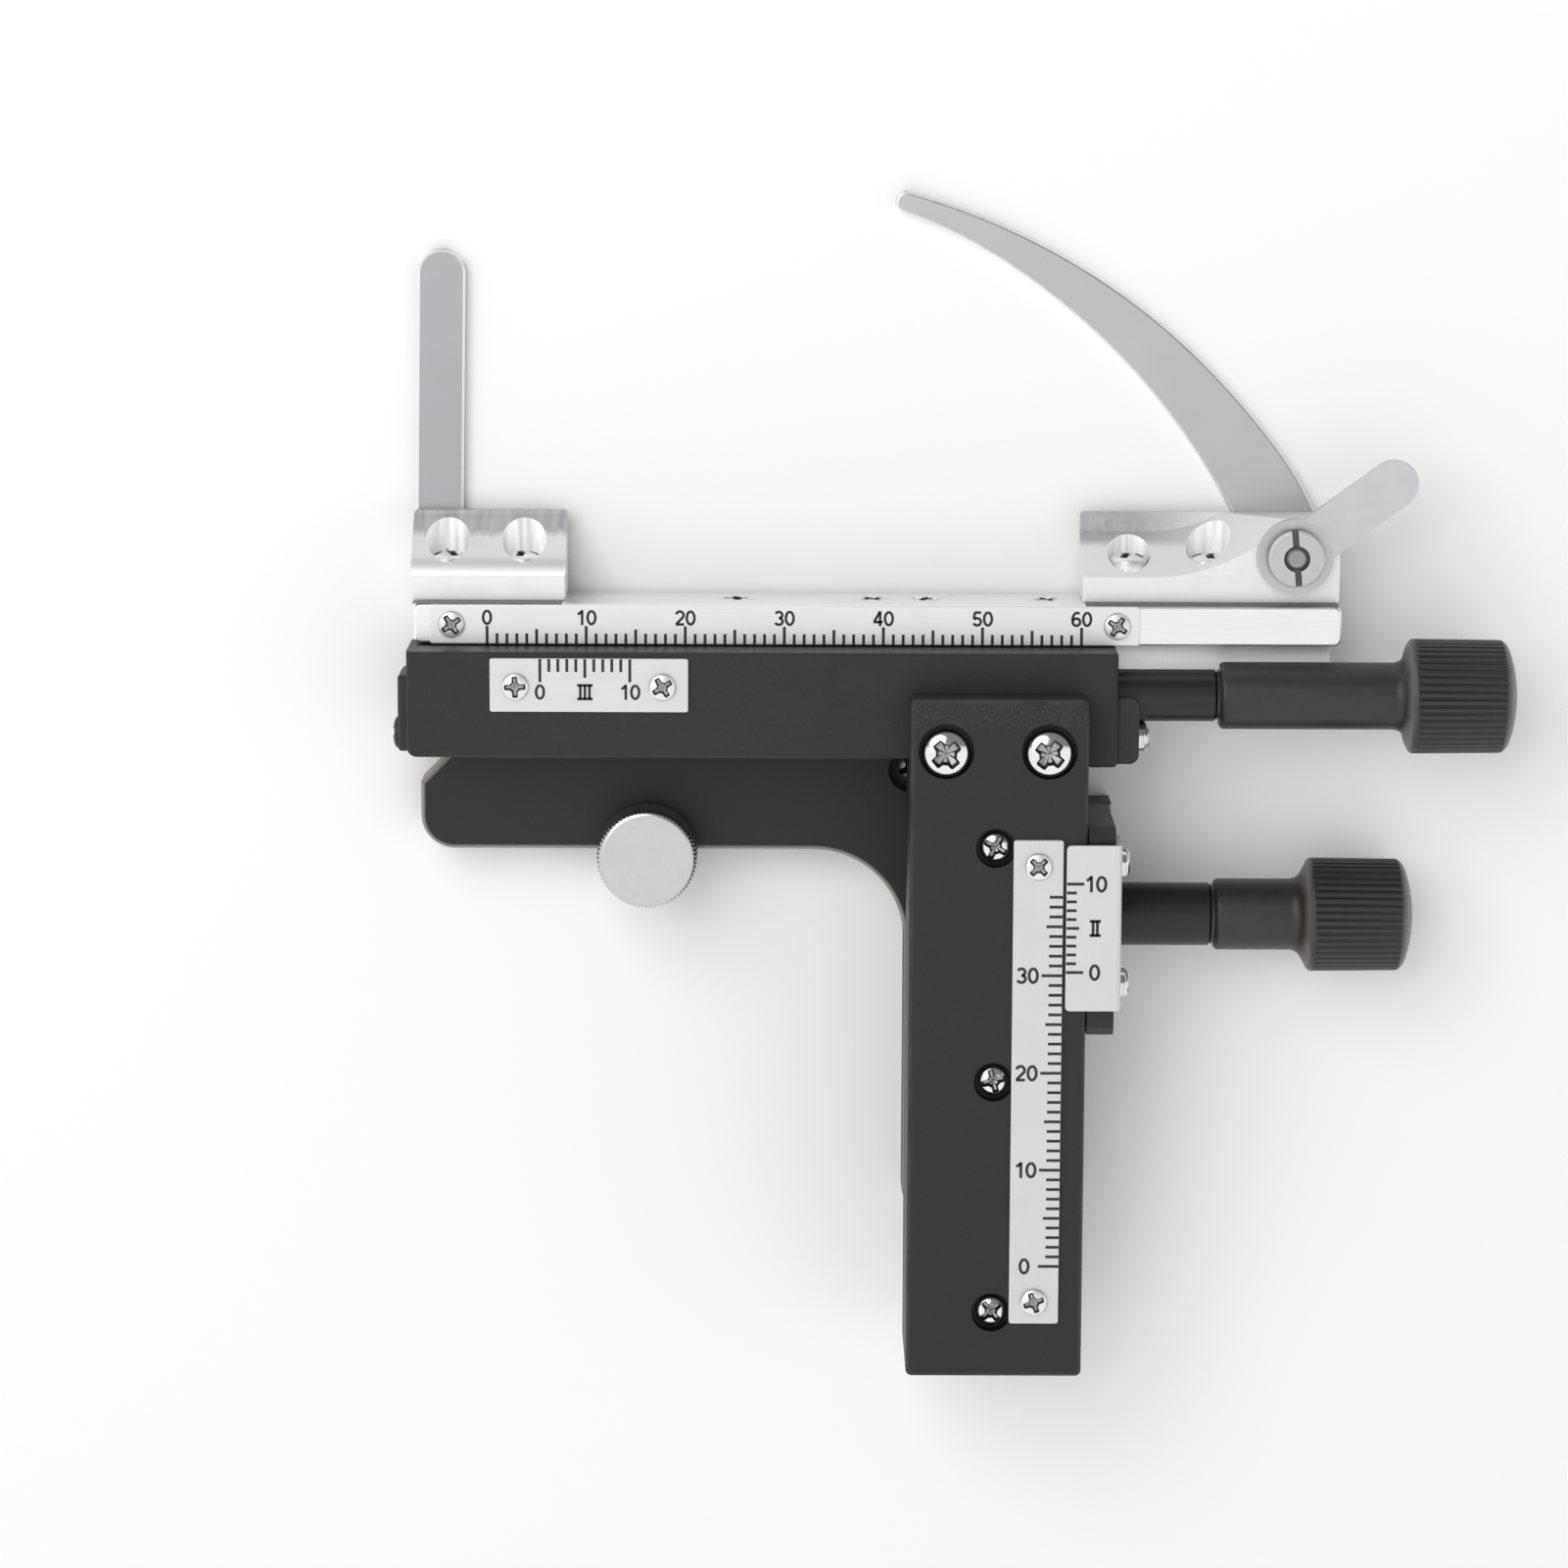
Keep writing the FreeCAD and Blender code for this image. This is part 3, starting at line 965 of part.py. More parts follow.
def x_lead_nut():
    """Nut keyed into the strip, with a follower peg that rides in the lead screw's groove."""
    stock = box("nut_stock", ("nut_left", "nut_left + nut_length"), ("nut_near", "strip_inner"),
                ("nut_low", "nut_top"))
    key = box("nut_key", ("nut_left + 1", "nut_left + nut_length - 1"),
              ("strip_inner - 0.5", "strip_inner + 1"), ("strip_height - 1", "strip_height + 1"))
    bored = cut("nut_bored", fuse("nut_blank", stock, key),
                rod("nut_bore", "X", DRIVE_AT, "thread_radius + running_gap", "nut_left - 1",
                    "nut_left + nut_length + 1"))
    middle = size("nut_left") + size("nut_length") / 2
    angle = groove_angle(middle)
    peg = doc.addObject("Part::Cylinder", "nut_peg")
    bind(peg, {"Radius": "peg_radius", "Height": "peg_length"})
    outward = Vec(0, math.sin(angle), -math.cos(angle))
    start = size("thread_radius") - size("peg_bite")
    peg.Placement = FreeCAD.Placement(
        Vec(middle, size("drive_along"), size("drive_height")) + outward * start,
        FreeCAD.Rotation(Vec(0, 0, 1), outward))
    return node(fuse("x_lead_nut", bored, peg))


# ------------------------------------------------------------------ slide holder
SLOPE_CLEAR = [("holder_far + 4", "holder_lip"), ("holder_far + 4", "holder_top + 2"),
               ("holder_flat", "holder_top + 2")]


def left_section():
    """Cutter outline in the YZ plane: a rounded crest, then a plane slope down to a narrow ledge."""
    crest = ("holder_flat + crest_along", "holder_top - crest_drop")
    middle = ("holder_flat + crest_along / 2 + crest_bulge / 2", "holder_top - crest_drop / 2 + crest_bulge",
              "mid")
    foot = ("holder_flat + slope_foot", "holder_lip")
    return [("holder_flat", "holder_top"), middle, crest, foot] + SLOPE_CLEAR


def right_section():
    """Cutter outline in the YZ plane: a plane slope from a sharp crest down to a wide ledge."""
    return [("holder_flat", "holder_top"), ("holder_flat + ledge_along", "holder_lip")] + SLOPE_CLEAR


def holder_block(name, x, scoop, bores):
    """Blank of a holder block, and the tools for its scooped front and two counterbored holes along Y."""
    stock = box(name + "_stock", x, ("rail_far", "holder_far"), ("holder_low", "holder_top"))
    corners = rounded(name + "_corners", stock, size("holder_corner"), upright)
    soft = rounded(name + "_break", corners, size("holder_break"), lambda e: at_height(e, size("holder_top")))
    tools = list(scoop)
    for i, bore in enumerate(bores):
        at = (bore, "strip_height")
        tools.append(rod("%s_sink_%d" % (name, i), "Y", at, "holder_bore_radius", "holder_seat",
                         "holder_far + 1"))
        tools.append(rod("%s_hole_%d" % (name, i), "Y", at, "holder_screw_shank + 0.05", "rail_far - 1",
                         "holder_far"))
    return soft, tools


def left_holder_block():
    """Left block, scooped over its whole length."""
    x = ("left_holder_left", "left_holder_right")
    scoop = prism("left_scoop", "YZ", left_section(), x[0] + " - 1", x[1] + " + 1")
    soft, tools = holder_block("left_block", x, [scoop], ("left_bore_one", "left_bore_two"))
    tools += [rod("left_finger_tap_%d" % i, "Z", at, "finger_screw_shank", "0", "finger_screw_reach + 0.15")
              for i, at in enumerate(FINGER_SCREWS)]
    return node(cut("left_holder_block", soft, *tools))


def right_holder_block():
    """Right block: the scoop runs out round a turn before the finger's pivot."""
    x = ("right_holder_left", "right_holder_right")
    scoop = prism("right_scoop", "YZ", right_section(), x[0] + " - 1", "scoop_turn")
    sketch = doc.addObject("Sketcher::SketchObject", "scoop_turn_section")
    sketch.Placement = FreeCAD.Placement(Vec(), PLANES["YZ"][0])
    centre = "holder_flat + scoop_turn_radius"
    outline(sketch, right_section()[:2] + [(centre, "holder_lip"), (centre, "holder_top + 2"),
                                           SLOPE_CLEAR[-1]])
    sketch.setExpression("Placement.Base.x", formula("scoop_turn"))
    turn = doc.addObject("Part::Revolution", "scoop_runout")
    turn.Source, turn.Axis, turn.Angle, turn.Solid = sketch, Vec(0, 0, 1), 100, True
    turn.Base = Vec(size("scoop_turn"), value_of(centre), 0)
    soft, tools = holder_block("right_block", x, [scoop, turn], ("right_bore_one", "right_bore_two"))
    pivot = ("pivot_across", "pivot_along")
    return node(cut("right_holder_block", soft, *tools,
                    rod("pivot_bore", "Z", pivot, "bush_radius", "holder_low - 1", "holder_top + 1"),
                    rod("spring_room", "Z", pivot, "spring_room_radius", "holder_low - 1", "bush_low")))


def block_screws(name, bores):
    """Two pan-head screws in the counterbores of a holder block."""
    return node(group(name, [
        screw("%s_%d" % (name, i), "+Y", (x, "holder_seat", "strip_height"), "holder_screw")
        for i, x in enumerate(bores)]))


def left_finger():
    """Fixed finger: a straight strip with a round tip, screwed on a little out of square."""
    half = "(left_finger_right - left_finger_left) / 2"
    thick = ("0", "holder_low")
    neck = "left_finger_tip - " + half
    left, right, lean = "left_finger_left", "left_finger_right", " + left_finger_lean"
    strip = prism("finger_strip", "XY", [(left, "left_finger_near"), (right, "left_finger_near"),
                                         (right + lean, neck), (left + lean, neck)], *thick)
    tip = rod("finger_round", "Z", ("(%s + %s) / 2" % (left, right) + lean, neck), half, *thick)
    foot = box("finger_foot", (left, "left_holder_right - 0.5"), ("left_finger_near", "left_finger_foot"),
               thick)
    whole = fuse("finger_whole", strip, tip, foot)
    blank = rounded("finger_blank", whole, size("finger_bevel"),
                    lambda e: at_height(e, size("holder_low")) and box_of(e).YMax > size("holder_far") + 1,
                    "Part::Chamfer")
    tools = []
    for i, at in enumerate(FINGER_SCREWS):
        tools.append(taper("finger_sink_%d" % i, "Z", at, "finger_screw_head + 0.06",
                           "finger_screw_shank + 0.05", "0", "finger_screw_thick + 0.1"))
        tools.append(rod("finger_hole_%d" % i, "Z", at, "finger_screw_shank + 0.05", "-1", "holder_low + 1"))
    return node(cut("left_finger", blank, *tools))


FINGER_SCREWS = (("finger_screw_one", "finger_screw_along"), ("finger_screw_two", "finger_screw_along"))


def left_finger_screws():
    """Two countersunk screws up through the left finger."""
    return node(group("left_finger_screws", [
        screw("finger_screw_%d" % i, "-Z", (x, y, "0"), "finger_screw", True)
        for i, (x, y) in enumerate(FINGER_SCREWS)]))


# points of the spring finger's two smooth edges, from the pivot to the tip and back
OUTER_EDGE = ((69.0, 32.6), (67.0, 36.9), (61.2, 44.85), (53.25, 52.85), (43.6, 59.75), (26.45, 67.0))
INNER_EDGE = ((25.75, 65.05), (31.5, 62.65), (40.8, 56.75), (49.5, 48.85), (55.8, 40.85), (61.9, 30.0))


def spring_finger():
    """Curved finger about the pivot: two smooth edges, a round hub and a round tip."""
    sheet_z = size("finger_sheet")
    curves = []
    for edge in (OUTER_EDGE, INNER_EDGE):
        curve = Part.BSplineCurve()
        curve.interpolate([Vec(x, y, 0) for x, y in edge])
        curves.append(curve.toShape())
    start, end = Vec(*OUTER_EDGE[-1], 0), Vec(*INNER_EDGE[0], 0)
    across = end - start
    tip = Part.Arc(start, (start + end) * 0.5 + Vec(across.y, -across.x, 0) * 0.5, end).toShape()
    foot = Part.LineSegment(Vec(*INNER_EDGE[-1], 0), Vec(*OUTER_EDGE[0], 0)).toShape()
    blade = doc.addObject("Part::Feature", "finger_blade")
    blade.Shape = Part.Face(Part.Wire([curves[0], tip, curves[1], foot])).extrude(Vec(0, 0, sheet_z))
    pivot = ("pivot_across", "pivot_along")
    hub = rod("finger_hub", "Z", pivot, "hub_radius", "0", "finger_sheet")
    blank = fuse("spring_finger_blank", blade, hub)
    soft = rounded("spring_finger_soft", blank, size("spring_finger_round"),
                   lambda e: at_height(e, sheet_z))
    return node(cut("spring_finger", soft, rod("finger_eye", "Z", pivot, "stud_radius", "-1",
                                              "finger_sheet + 1")))


def pivot_stud():
    """Stud riveted in the finger: collar, bearing length and threaded end."""
    at = ("pivot_across", "pivot_along")
    top = "lever_low + lever_sheet + nut_thick"
    return node(fuse("pivot_stud", rod("stud_body", "Z", at, "stud_radius", "0", "lever_low + lever_sheet"),
                     rod("stud_collar", "Z", at, "collar_radius", "finger_sheet", "collar_top"),
                     rod("stud_end", "Z", at, "stud_end_radius", "lever_low + lever_sheet", top + " - 0.35"),
                     taper("stud_tip", "Z", at, "stud_end_radius", "stud_point", top + " - 0.35",
                           top + " - 0.15")))


def pivot_bush():
    """Brass bush that the stud turns in."""
    return node(ring("pivot_bush", "Z", ("pivot_across", "pivot_along"), "bush_radius",
                     "stud_radius + running_gap", "bush_low", "holder_top"))


def finger_spring():
    """Torsion spring round the stud, in the room under the bush; its path has one edge for each turn."""
    helix = doc.addObject("Part::Helix", "spring_path")
    helix.SegmentLength = 1
    bind(helix, {"Pitch": "spring_pitch", "Height": "spring_pitch * spring_turns", "Radius": "spring_radius"})
    doc.recompute()
    section = doc.addObject("Part::Circle", "spring_section")
    bind(section, {"Radius": "spring_wire / 2"})
    place(section, "spring_radius", "0", "0", FreeCAD.Rotation(Vec(1, 0, 0), 90))
    coil = doc.addObject("Part::Sweep", "finger_spring")
    turns = ["Edge%d" % i for i in range(1, len(helix.Shape.Edges) + 1)]
    coil.Sections, coil.Spine, coil.Solid, coil.Frenet = [section], (helix, turns), True, True
    return node(place(coil, "pivot_across", "pivot_along", "spring_low"))


def finger_lever():
    """Thumb lever: a round head on the stud and a tab bent slightly upwards."""
    reach, half, bend = size("lever_reach"), size("lever_half_width"), size("lever_bend")
    pivot = Vec(size("pivot_across"), size("pivot_along"), size("lever_low"))
    head = rod("lever_head", "Z", ("pivot_across", "pivot_along"), "lever_head_radius", "lever_low",
               "lever_low + lever_sheet")
    flat = doc.addObject("Part::Box", "lever_neck")
    bind(flat, {"Length": "lever_bend", "Width": "2 * lever_half_width", "Height": "lever_sheet"})
    yaw = FreeCAD.Rotation(Vec(0, 0, 1), size("lever_turn"))
    flat.Placement = FreeCAD.Placement(pivot + yaw.multVec(Vec(0, -half, 0)), yaw)
    pitch_up = yaw.multiply(FreeCAD.Rotation(Vec(0, 1, 0), -size("lever_rise")))
    hinge = pivot + yaw.multVec(Vec(bend, 0, 0))
    tab = doc.addObject("Part::Box", "lever_tab")
    bind(tab, {"Length": "lever_reach - lever_bend", "Width": "2 * lever_half_width",
               "Height": "lever_sheet"})
    tab.Placement = FreeCAD.Placement(hinge + pitch_up.multVec(Vec(0, -half, 0)), pitch_up)
    tip = doc.addObject("Part::Cylinder", "lever_tip")
    bind(tip, {"Radius": "lever_half_width", "Height": "lever_sheet"})
    tip.Placement = FreeCAD.Placement(hinge + pitch_up.multVec(Vec(reach - bend, 0, 0)), pitch_up)
    whole = fuse("lever_whole", head, flat, tab, tip)
    return node(cut("finger_lever", whole, rod("lever_eye", "Z", ("pivot_across", "pivot_along"),
                                               "stud_radius", "lever_low - 1", "lever_low + 3")))


def pivot_nut():
    """Round slotted nut that holds the lever on the stud."""
    at = ("pivot_across", "pivot_along")
    low = "lever_low + lever_sheet"
    top = low + " + nut_thick"
    disc = rod("nut_disc", "Z", at, "nut_radius", low, top)
    soft = rounded("nut_soft", disc, size("nut_round"), lambda e: at_height(e, value_of(top)))
    half, long = size("nut_slot") / 2, size("nut_radius") + 1
    slot = doc.addObject("Part::Box", "nut_slot_cut")
    bind(slot, {"Length": "nut_slot", "Width": "2 * (nut_radius + 1)", "Height": "nut_slot_depth + 1"})
    yaw = FreeCAD.Rotation(Vec(0, 0, 1), size("nut_slot_turn"))
    seat = Vec(size("pivot_across"), size("pivot_along"), value_of(top) - size("nut_slot_depth"))
    slot.Placement = FreeCAD.Placement(seat + yaw.multVec(Vec(-half, -long, 0)), yaw)
    return node(cut("pivot_nut", soft, rod("nut_thread", "Z", at, "stud_end_radius", low + " - 1", top),
                    rod("nut_mouth", "Z", at, "nut_mouth_radius", top + " - nut_mouth_depth", top + " + 1"),
                    slot))


# ------------------------------------------------------------------ build
def build():
    """Make every piece in the order in which it would be put together."""
    base_bracket()
    bracket_screw()
    locating_pins()
    clamp_washer()
    clamp_screw()
    y_way_block()
    underside_screws("way_screws", way_screw_places(), "way_screw")
    pinion_housing()
    underside_screws("housing_screws", housing_screw_places(), "housing_screw")
    y_vernier_plate()
    y_vernier_screws()
    bearing_tube("y_bearing_tube", PINION_AT, "long_tube_radius", "housing_left + 0.1",
                 rod("y_tube_shoulder", "X", PINION_AT, "gear_bore_radius", "housing_left + 0.1",
                     "housing_right"))
    y_pinion_shaft()
    drive_washer("y_drive_washer", PINION_AT, "tube_end + 0.02", "long_tube_radius - 0.2")
    drive_knob("y_knob", PINION_AT, "tube_end + 0.3", "long_sleeve_radius", "long_sleeve_end",
               "long_knob_start", "long_knob_end")
    y_block()
    y_rack()
    y_rack_screws()
    graduated_plates()
    x_body()
    x_body_screws()
    x_left_end_cap()
    node(screw("x_left_cap_screw", "-X", ("cap_left", "cap_screw_along", "end_screw_height"), "cap_screw"))
    x_right_end_plate()
    node(screw("x_right_plate_screw", "+X", ("end_plate_right", "end_screw_along", "end_screw_height"),
               "end_screw"))
    bearing_tube("x_bearing_tube", DRIVE_AT, "cross_tube_radius", "channel_end")
    x_lead_screw()
    drive_washer("x_drive_washer", DRIVE_AT, "tube_end + 0.02", "cross_tube_radius - 0.2")
    drive_knob("x_knob", DRIVE_AT, "tube_end + 0.3", "cross_sleeve_radius", "cross_sleeve_end",
               "cross_knob_start", "cross_knob_end")
    x_rail()
    x_dovetail_strip()
    x_strip_screws()
    x_lead_nut()
    left_holder_block()
    block_screws("left_block_screws", ("left_bore_one", "left_bore_two"))
    left_finger()
    left_finger_screws()
    right_holder_block()
    block_screws("right_block_screws", ("right_bore_one", "right_bore_two"))
    spring_finger()
    pivot_stud()
    pivot_bush()
    finger_spring()
    finger_lever()
    pivot_nut()


def hand_over():
    """Check every object of the document, then write each piece to its own file."""
    doc.recompute()
    failed = [obj.Name for obj in doc.Objects if {"Invalid", "Error"} & set(obj.State)]
    if failed:
        raise RuntimeError("these did not build: " + ", ".join(failed))
    for obj in NODES:
        if obj.Shape.isNull() or not obj.Shape.isValid() or not obj.Shape.Solids:
            raise RuntimeError(obj.Name + " has no valid solid")
    os.makedirs("parts", exist_ok=True)
    for obj in NODES:
        obj.Shape.exportStep("parts/%s.step" % obj.Label)
        box_now = obj.Shape.BoundBox
        print("%-20s %2d solids %9.2f mm3  x %.2f %.2f  y %.2f %.2f  z %.2f %.2f" % (
            obj.Label, len(obj.Shape.Solids), obj.Shape.Volume, box_now.XMin, box_now.XMax, box_now.YMin,
            box_now.YMax, box_now.ZMin, box_now.ZMax))


build()
hand_over()
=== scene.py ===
"""Looks of an attachable mechanical microscope stage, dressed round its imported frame.

Every class holds its sizes in millimetres.  The frame is in metres, so a mesh is scaled by MM when it is
made.  +X runs along the long rail, +Y away from the user, +Z up from the microscope's stage plate.
"""

import json
import logging
import math
from collections.abc import Iterator
from dataclasses import dataclass, field, replace
from enum import Enum

import bmesh
import bpy
import numpy as np
from mathutils import Matrix, Vector

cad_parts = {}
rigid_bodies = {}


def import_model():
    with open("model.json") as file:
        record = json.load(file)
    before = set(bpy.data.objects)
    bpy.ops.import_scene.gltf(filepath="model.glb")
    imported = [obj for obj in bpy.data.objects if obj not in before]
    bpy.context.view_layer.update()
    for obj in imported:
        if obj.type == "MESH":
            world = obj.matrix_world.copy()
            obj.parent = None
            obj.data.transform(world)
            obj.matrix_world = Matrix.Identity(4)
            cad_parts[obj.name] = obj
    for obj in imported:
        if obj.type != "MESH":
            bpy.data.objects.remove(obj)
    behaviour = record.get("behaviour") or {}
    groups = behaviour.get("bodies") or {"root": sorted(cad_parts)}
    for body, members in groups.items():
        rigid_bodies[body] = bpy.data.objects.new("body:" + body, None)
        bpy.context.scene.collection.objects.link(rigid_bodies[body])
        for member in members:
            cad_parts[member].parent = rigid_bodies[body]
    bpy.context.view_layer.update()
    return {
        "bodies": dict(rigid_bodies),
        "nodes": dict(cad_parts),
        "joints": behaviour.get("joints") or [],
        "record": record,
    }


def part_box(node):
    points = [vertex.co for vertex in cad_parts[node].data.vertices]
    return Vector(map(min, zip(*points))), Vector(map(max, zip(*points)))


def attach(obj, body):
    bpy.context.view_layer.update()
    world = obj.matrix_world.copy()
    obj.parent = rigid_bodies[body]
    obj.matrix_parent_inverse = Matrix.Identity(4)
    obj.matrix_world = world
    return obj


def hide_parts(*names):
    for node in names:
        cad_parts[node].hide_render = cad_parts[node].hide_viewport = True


Array = np.ndarray
Point = tuple[float, float, float]
Socket = bpy.types.NodeSocket

LOG = logging.getLogger("mechanical_stage")
MM = 0.001
FULL_TURN = 2 * math.pi
BEYOND_MM = 900.0  # farther out than any piece


class Axis(Enum):
    """A direction of the frame, by its column in a point."""
    X = 0
    Y = 1
    Z = 2


X, Y, Z = Axis


# ---- node trees and colours
def linear(shade: str) -> tuple[float, float, float, float]:
    """Turn an sRGB hex colour into linear red, green, blue and an alpha of one.

    Args:
        shade: The colour as "#rrggbb".

    Returns:
        Four numbers that a colour socket takes.
    """
    parts = [int(shade[i:i + 2], 16) / 255 for i in (1, 3, 5)]
    return tuple(p / 12.92 if p <= 0.04045 else ((p + 0.055) / 1.055) ** 2.4 for p in parts) + (1.0,)


@dataclass
class Graph:
    """The nodes of one material or world, with its shader and the object's coordinates."""
    tree: bpy.types.NodeTree
    shader: bpy.types.Node | None = None
    place: Socket | None = None

    def add(self, kind: str, given: dict, out: int | str = 0) -> Socket | None:
        """Add a node, set it up, link others into it and give one of its outputs.

        Args:
            kind: The node's Blender type after "ShaderNode".
            given: Values by property name, and values or sockets by an input's name or number.
            out: The output's name or number.

        Returns:
            The output, or None from a node that ends a tree.
        """
        made = self.tree.nodes.new("ShaderNode" + kind)
        for key, value in given.items():
            if isinstance(value, Socket):
                self.tree.links.new(value, made.inputs[key])
            elif isinstance(key, str) and hasattr(made, key):
                setattr(made, key, value)
            else:
                made.inputs[key].default_value = value
        return made.outputs[out] if made.outputs else None

    def feed(self, name: str, socket: Socket) -> None:
        """Link a socket into the shader."""
        self.tree.links.new(socket, self.shader.inputs[name])

    def vary(self, name: str, mask: Socket, low: float, high: float) -> None:
        """Let a value of the shader run from low, where a mask is zero, to high, where it is one."""
        self.feed(name, self.add("MapRange", {"To Min": low, "To Max": high, "Value": mask}))

    def within(self, axis: Axis, centre_mm: Point, radius_mm: float) -> Socket:
        """Mask of what lies nearer than a radius to a line that runs along an axis."""
        away = self.from_axis(axis, centre_mm)
        return self.add("Math", {"operation": "LESS_THAN", 0: away, 1: radius_mm * MM})

    def mark(self, name: str) -> Socket:
        """What the mesh says in one of its attributes."""
        return self.add("Attribute", {"attribute_name": name}, "Fac")

    def along(self, axis: Axis) -> Socket:
        """The coordinate along an axis."""
        return self.add("SeparateXYZ", {0: self.place}, axis.value)

    def from_axis(self, axis: Axis, centre_mm: Point) -> Socket:
        """Distance from a line that runs along an axis of the frame.

        Args:
            axis: The line's direction.
            centre_mm: A point on the line.

        Returns:
            The distance, in metres.
        """
        centre = [c * MM for c in centre_mm]
        offset = self.add("VectorMath", {"operation": "SUBTRACT", 0: self.place, 1: centre})
        flat = [float(a is not axis) for a in Axis]
        across = self.add("VectorMath", {"operation": "MULTIPLY", 1: flat, 0: offset})
        return self.add("VectorMath", {"operation": "LENGTH", 0: across}, "Value")

    def scaled(self, shade: str, *levels: Socket) -> Socket:
        """A shade times the product of some levels.

        Args:
            shade: The colour as "#rrggbb".
            levels: One or more numbers near one.

        Returns:
            The colour.
        """
        product = levels[0]
        for level in levels[1:]:
            product = self.add("Math", {"operation": "MULTIPLY", 0: product, 1: level})
        return self.add("Mix", {"data_type": "RGBA", "blend_type": "MULTIPLY", 0: 1.0, 6: linear(shade),
                                7: product}, 2)

    def paint(self, mask: Socket, shade: str, *levels: Socket) -> None:
        """Lay a shade over the colour so far, where a mask is one.

        Args:
            mask: Where the shade lies.
            shade: The colour as "#rrggbb".
            levels: What scales the shade, if anything does.
        """
        under = self.shader.inputs["Base Color"].links[0].from_socket
        over = self.add("Mix", {"data_type": "RGBA", 7: linear(shade), 0: mask, 6: under}, 2)
        if levels:
            self.tree.links.new(self.scaled(shade, *levels), over.node.inputs[7])
        self.feed("Base Color", over)


# ---- finishes
@dataclass(frozen=True)
class Pattern:
    """Noise of a real size that scales a colour: a grain, lines along a lay, or slow clouds."""
    size_mm: float
    low: float
    high: float
    detail: float = 2.0
    lay: Axis | None = None
    length_mm: float = 1.0
    across: Axis | None = None

    def noise(self, graph: Graph) -> Socket:
        """Noise of the pattern's size, drawn out along its lay, or in every direction but one.

        Args:
            graph: The material's nodes.

        Returns:
            The noise, from 0 to 1.
        """
        stretch = [1 / (self.size_mm * MM)] * 3
        for axis in Axis:
            if axis is self.lay or self.across not in (None, axis):
                stretch[axis.value] = 1 / (self.length_mm * MM)
        sized = graph.add("Mapping", {"Scale": stretch, "Vector": graph.place})
        return graph.add("TexNoise", {"Scale": 1.0, "Detail": self.detail, "Vector": sized})

    def level(self, graph: Graph, noise: Socket | None = None) -> Socket:
        """The given noise, or the pattern's own, stretched from the pattern's low to its high."""
        return graph.add("MapRange", {"To Min": self.low, "To Max": self.high,
                                      "Value": noise or self.noise(graph)})


@dataclass(frozen=True)
class Finish:
    """A colour, a gloss and a relief on one physically based shader, varied by patterns.

    The first pattern also gives the relief and the last one the spread of the gloss.  Rounded edges and
    sloped facets may carry a painted tone: a highlight, or on the holder bars a shade.
    """
    name: str
    shade: str
    roughness: float
    metallic: float = 0.0
    specular: float = 0.5
    patterns: tuple[Pattern, ...] = ()
    relief_mm: float = 0.0
    gloss_spread: float = 0.0
    # light or shade painted on rounded edges and sloped facets
    painted_edge_light: str = ""
    edge_begin: float = 0.985
    edge_full: float = 0.85

    def material(self) -> bpy.types.Material:
        """Build the material once.

        Returns:
            The material of this name.
        """
        found = bpy.data.materials.get(self.name)
        if found:
            return found
        made = bpy.data.materials.new(self.name)
        made.use_nodes = True
        graph = Graph(made.node_tree, made.node_tree.nodes["Principled BSDF"])
        graph.place = graph.add("TexCoord", {}, out="Object")
        for name, value in (("Base Color", linear(self.shade)), ("Roughness", self.roughness),
                            ("Metallic", self.metallic), ("Specular IOR Level", self.specular)):
            graph.shader.inputs[name].default_value = value
        self.dress(graph)
        return made

    def noises(self, graph: Graph) -> list[Socket]:
        """The noise of each pattern."""
        return [pattern.noise(graph) for pattern in self.patterns]

    def dress(self, graph: Graph) -> None:
        """Link the patterns, the relief and the painted light on edges to the shader.

        Args:
            graph: The material's nodes.
        """
        noises = self.noises(graph)
        levels = [pattern.level(graph, noise) for pattern, noise in zip(self.patterns, noises)]
        graph.feed("Base Color", graph.scaled(self.shade, *levels))
        if self.painted_edge_light:
            graph.paint(self.edge_mask(graph), self.painted_edge_light)
        if self.gloss_spread:
            graph.vary("Roughness", noises[-1], self.roughness - self.gloss_spread,
                       self.roughness + self.gloss_spread)
        if self.relief_mm:
            graph.feed("Normal", graph.add("Bump", {"Distance": self.relief_mm * MM, "Height": noises[0]}))

    def edge_mask(self, graph: Graph) -> Socket:
        """Mask of rounded edges, from the largest part of each facet's normal in the object's own frame.

        Args:
            graph: The material's nodes.

        Returns:
            A socket that is 0 on flat faces along the axes and 1 on a rounded edge.
        """
        facet = graph.add("NewGeometry", {}, out="True Normal")
        normal = graph.add("VectorTransform", {"vector_type": "NORMAL", "convert_from": "WORLD",
                                               "convert_to": "OBJECT", 0: facet})
        positive = graph.add("VectorMath", {"operation": "ABSOLUTE", 0: normal})
        largest, *others = graph.add("SeparateXYZ", {0: positive}).node.outputs
        for part in others:
            largest = graph.add("Math", {"operation": "MAXIMUM", 0: largest, 1: part})
        return graph.add("MapRange", {"From Min": self.edge_begin, "From Max": self.edge_full,
                                      "Value": largest})


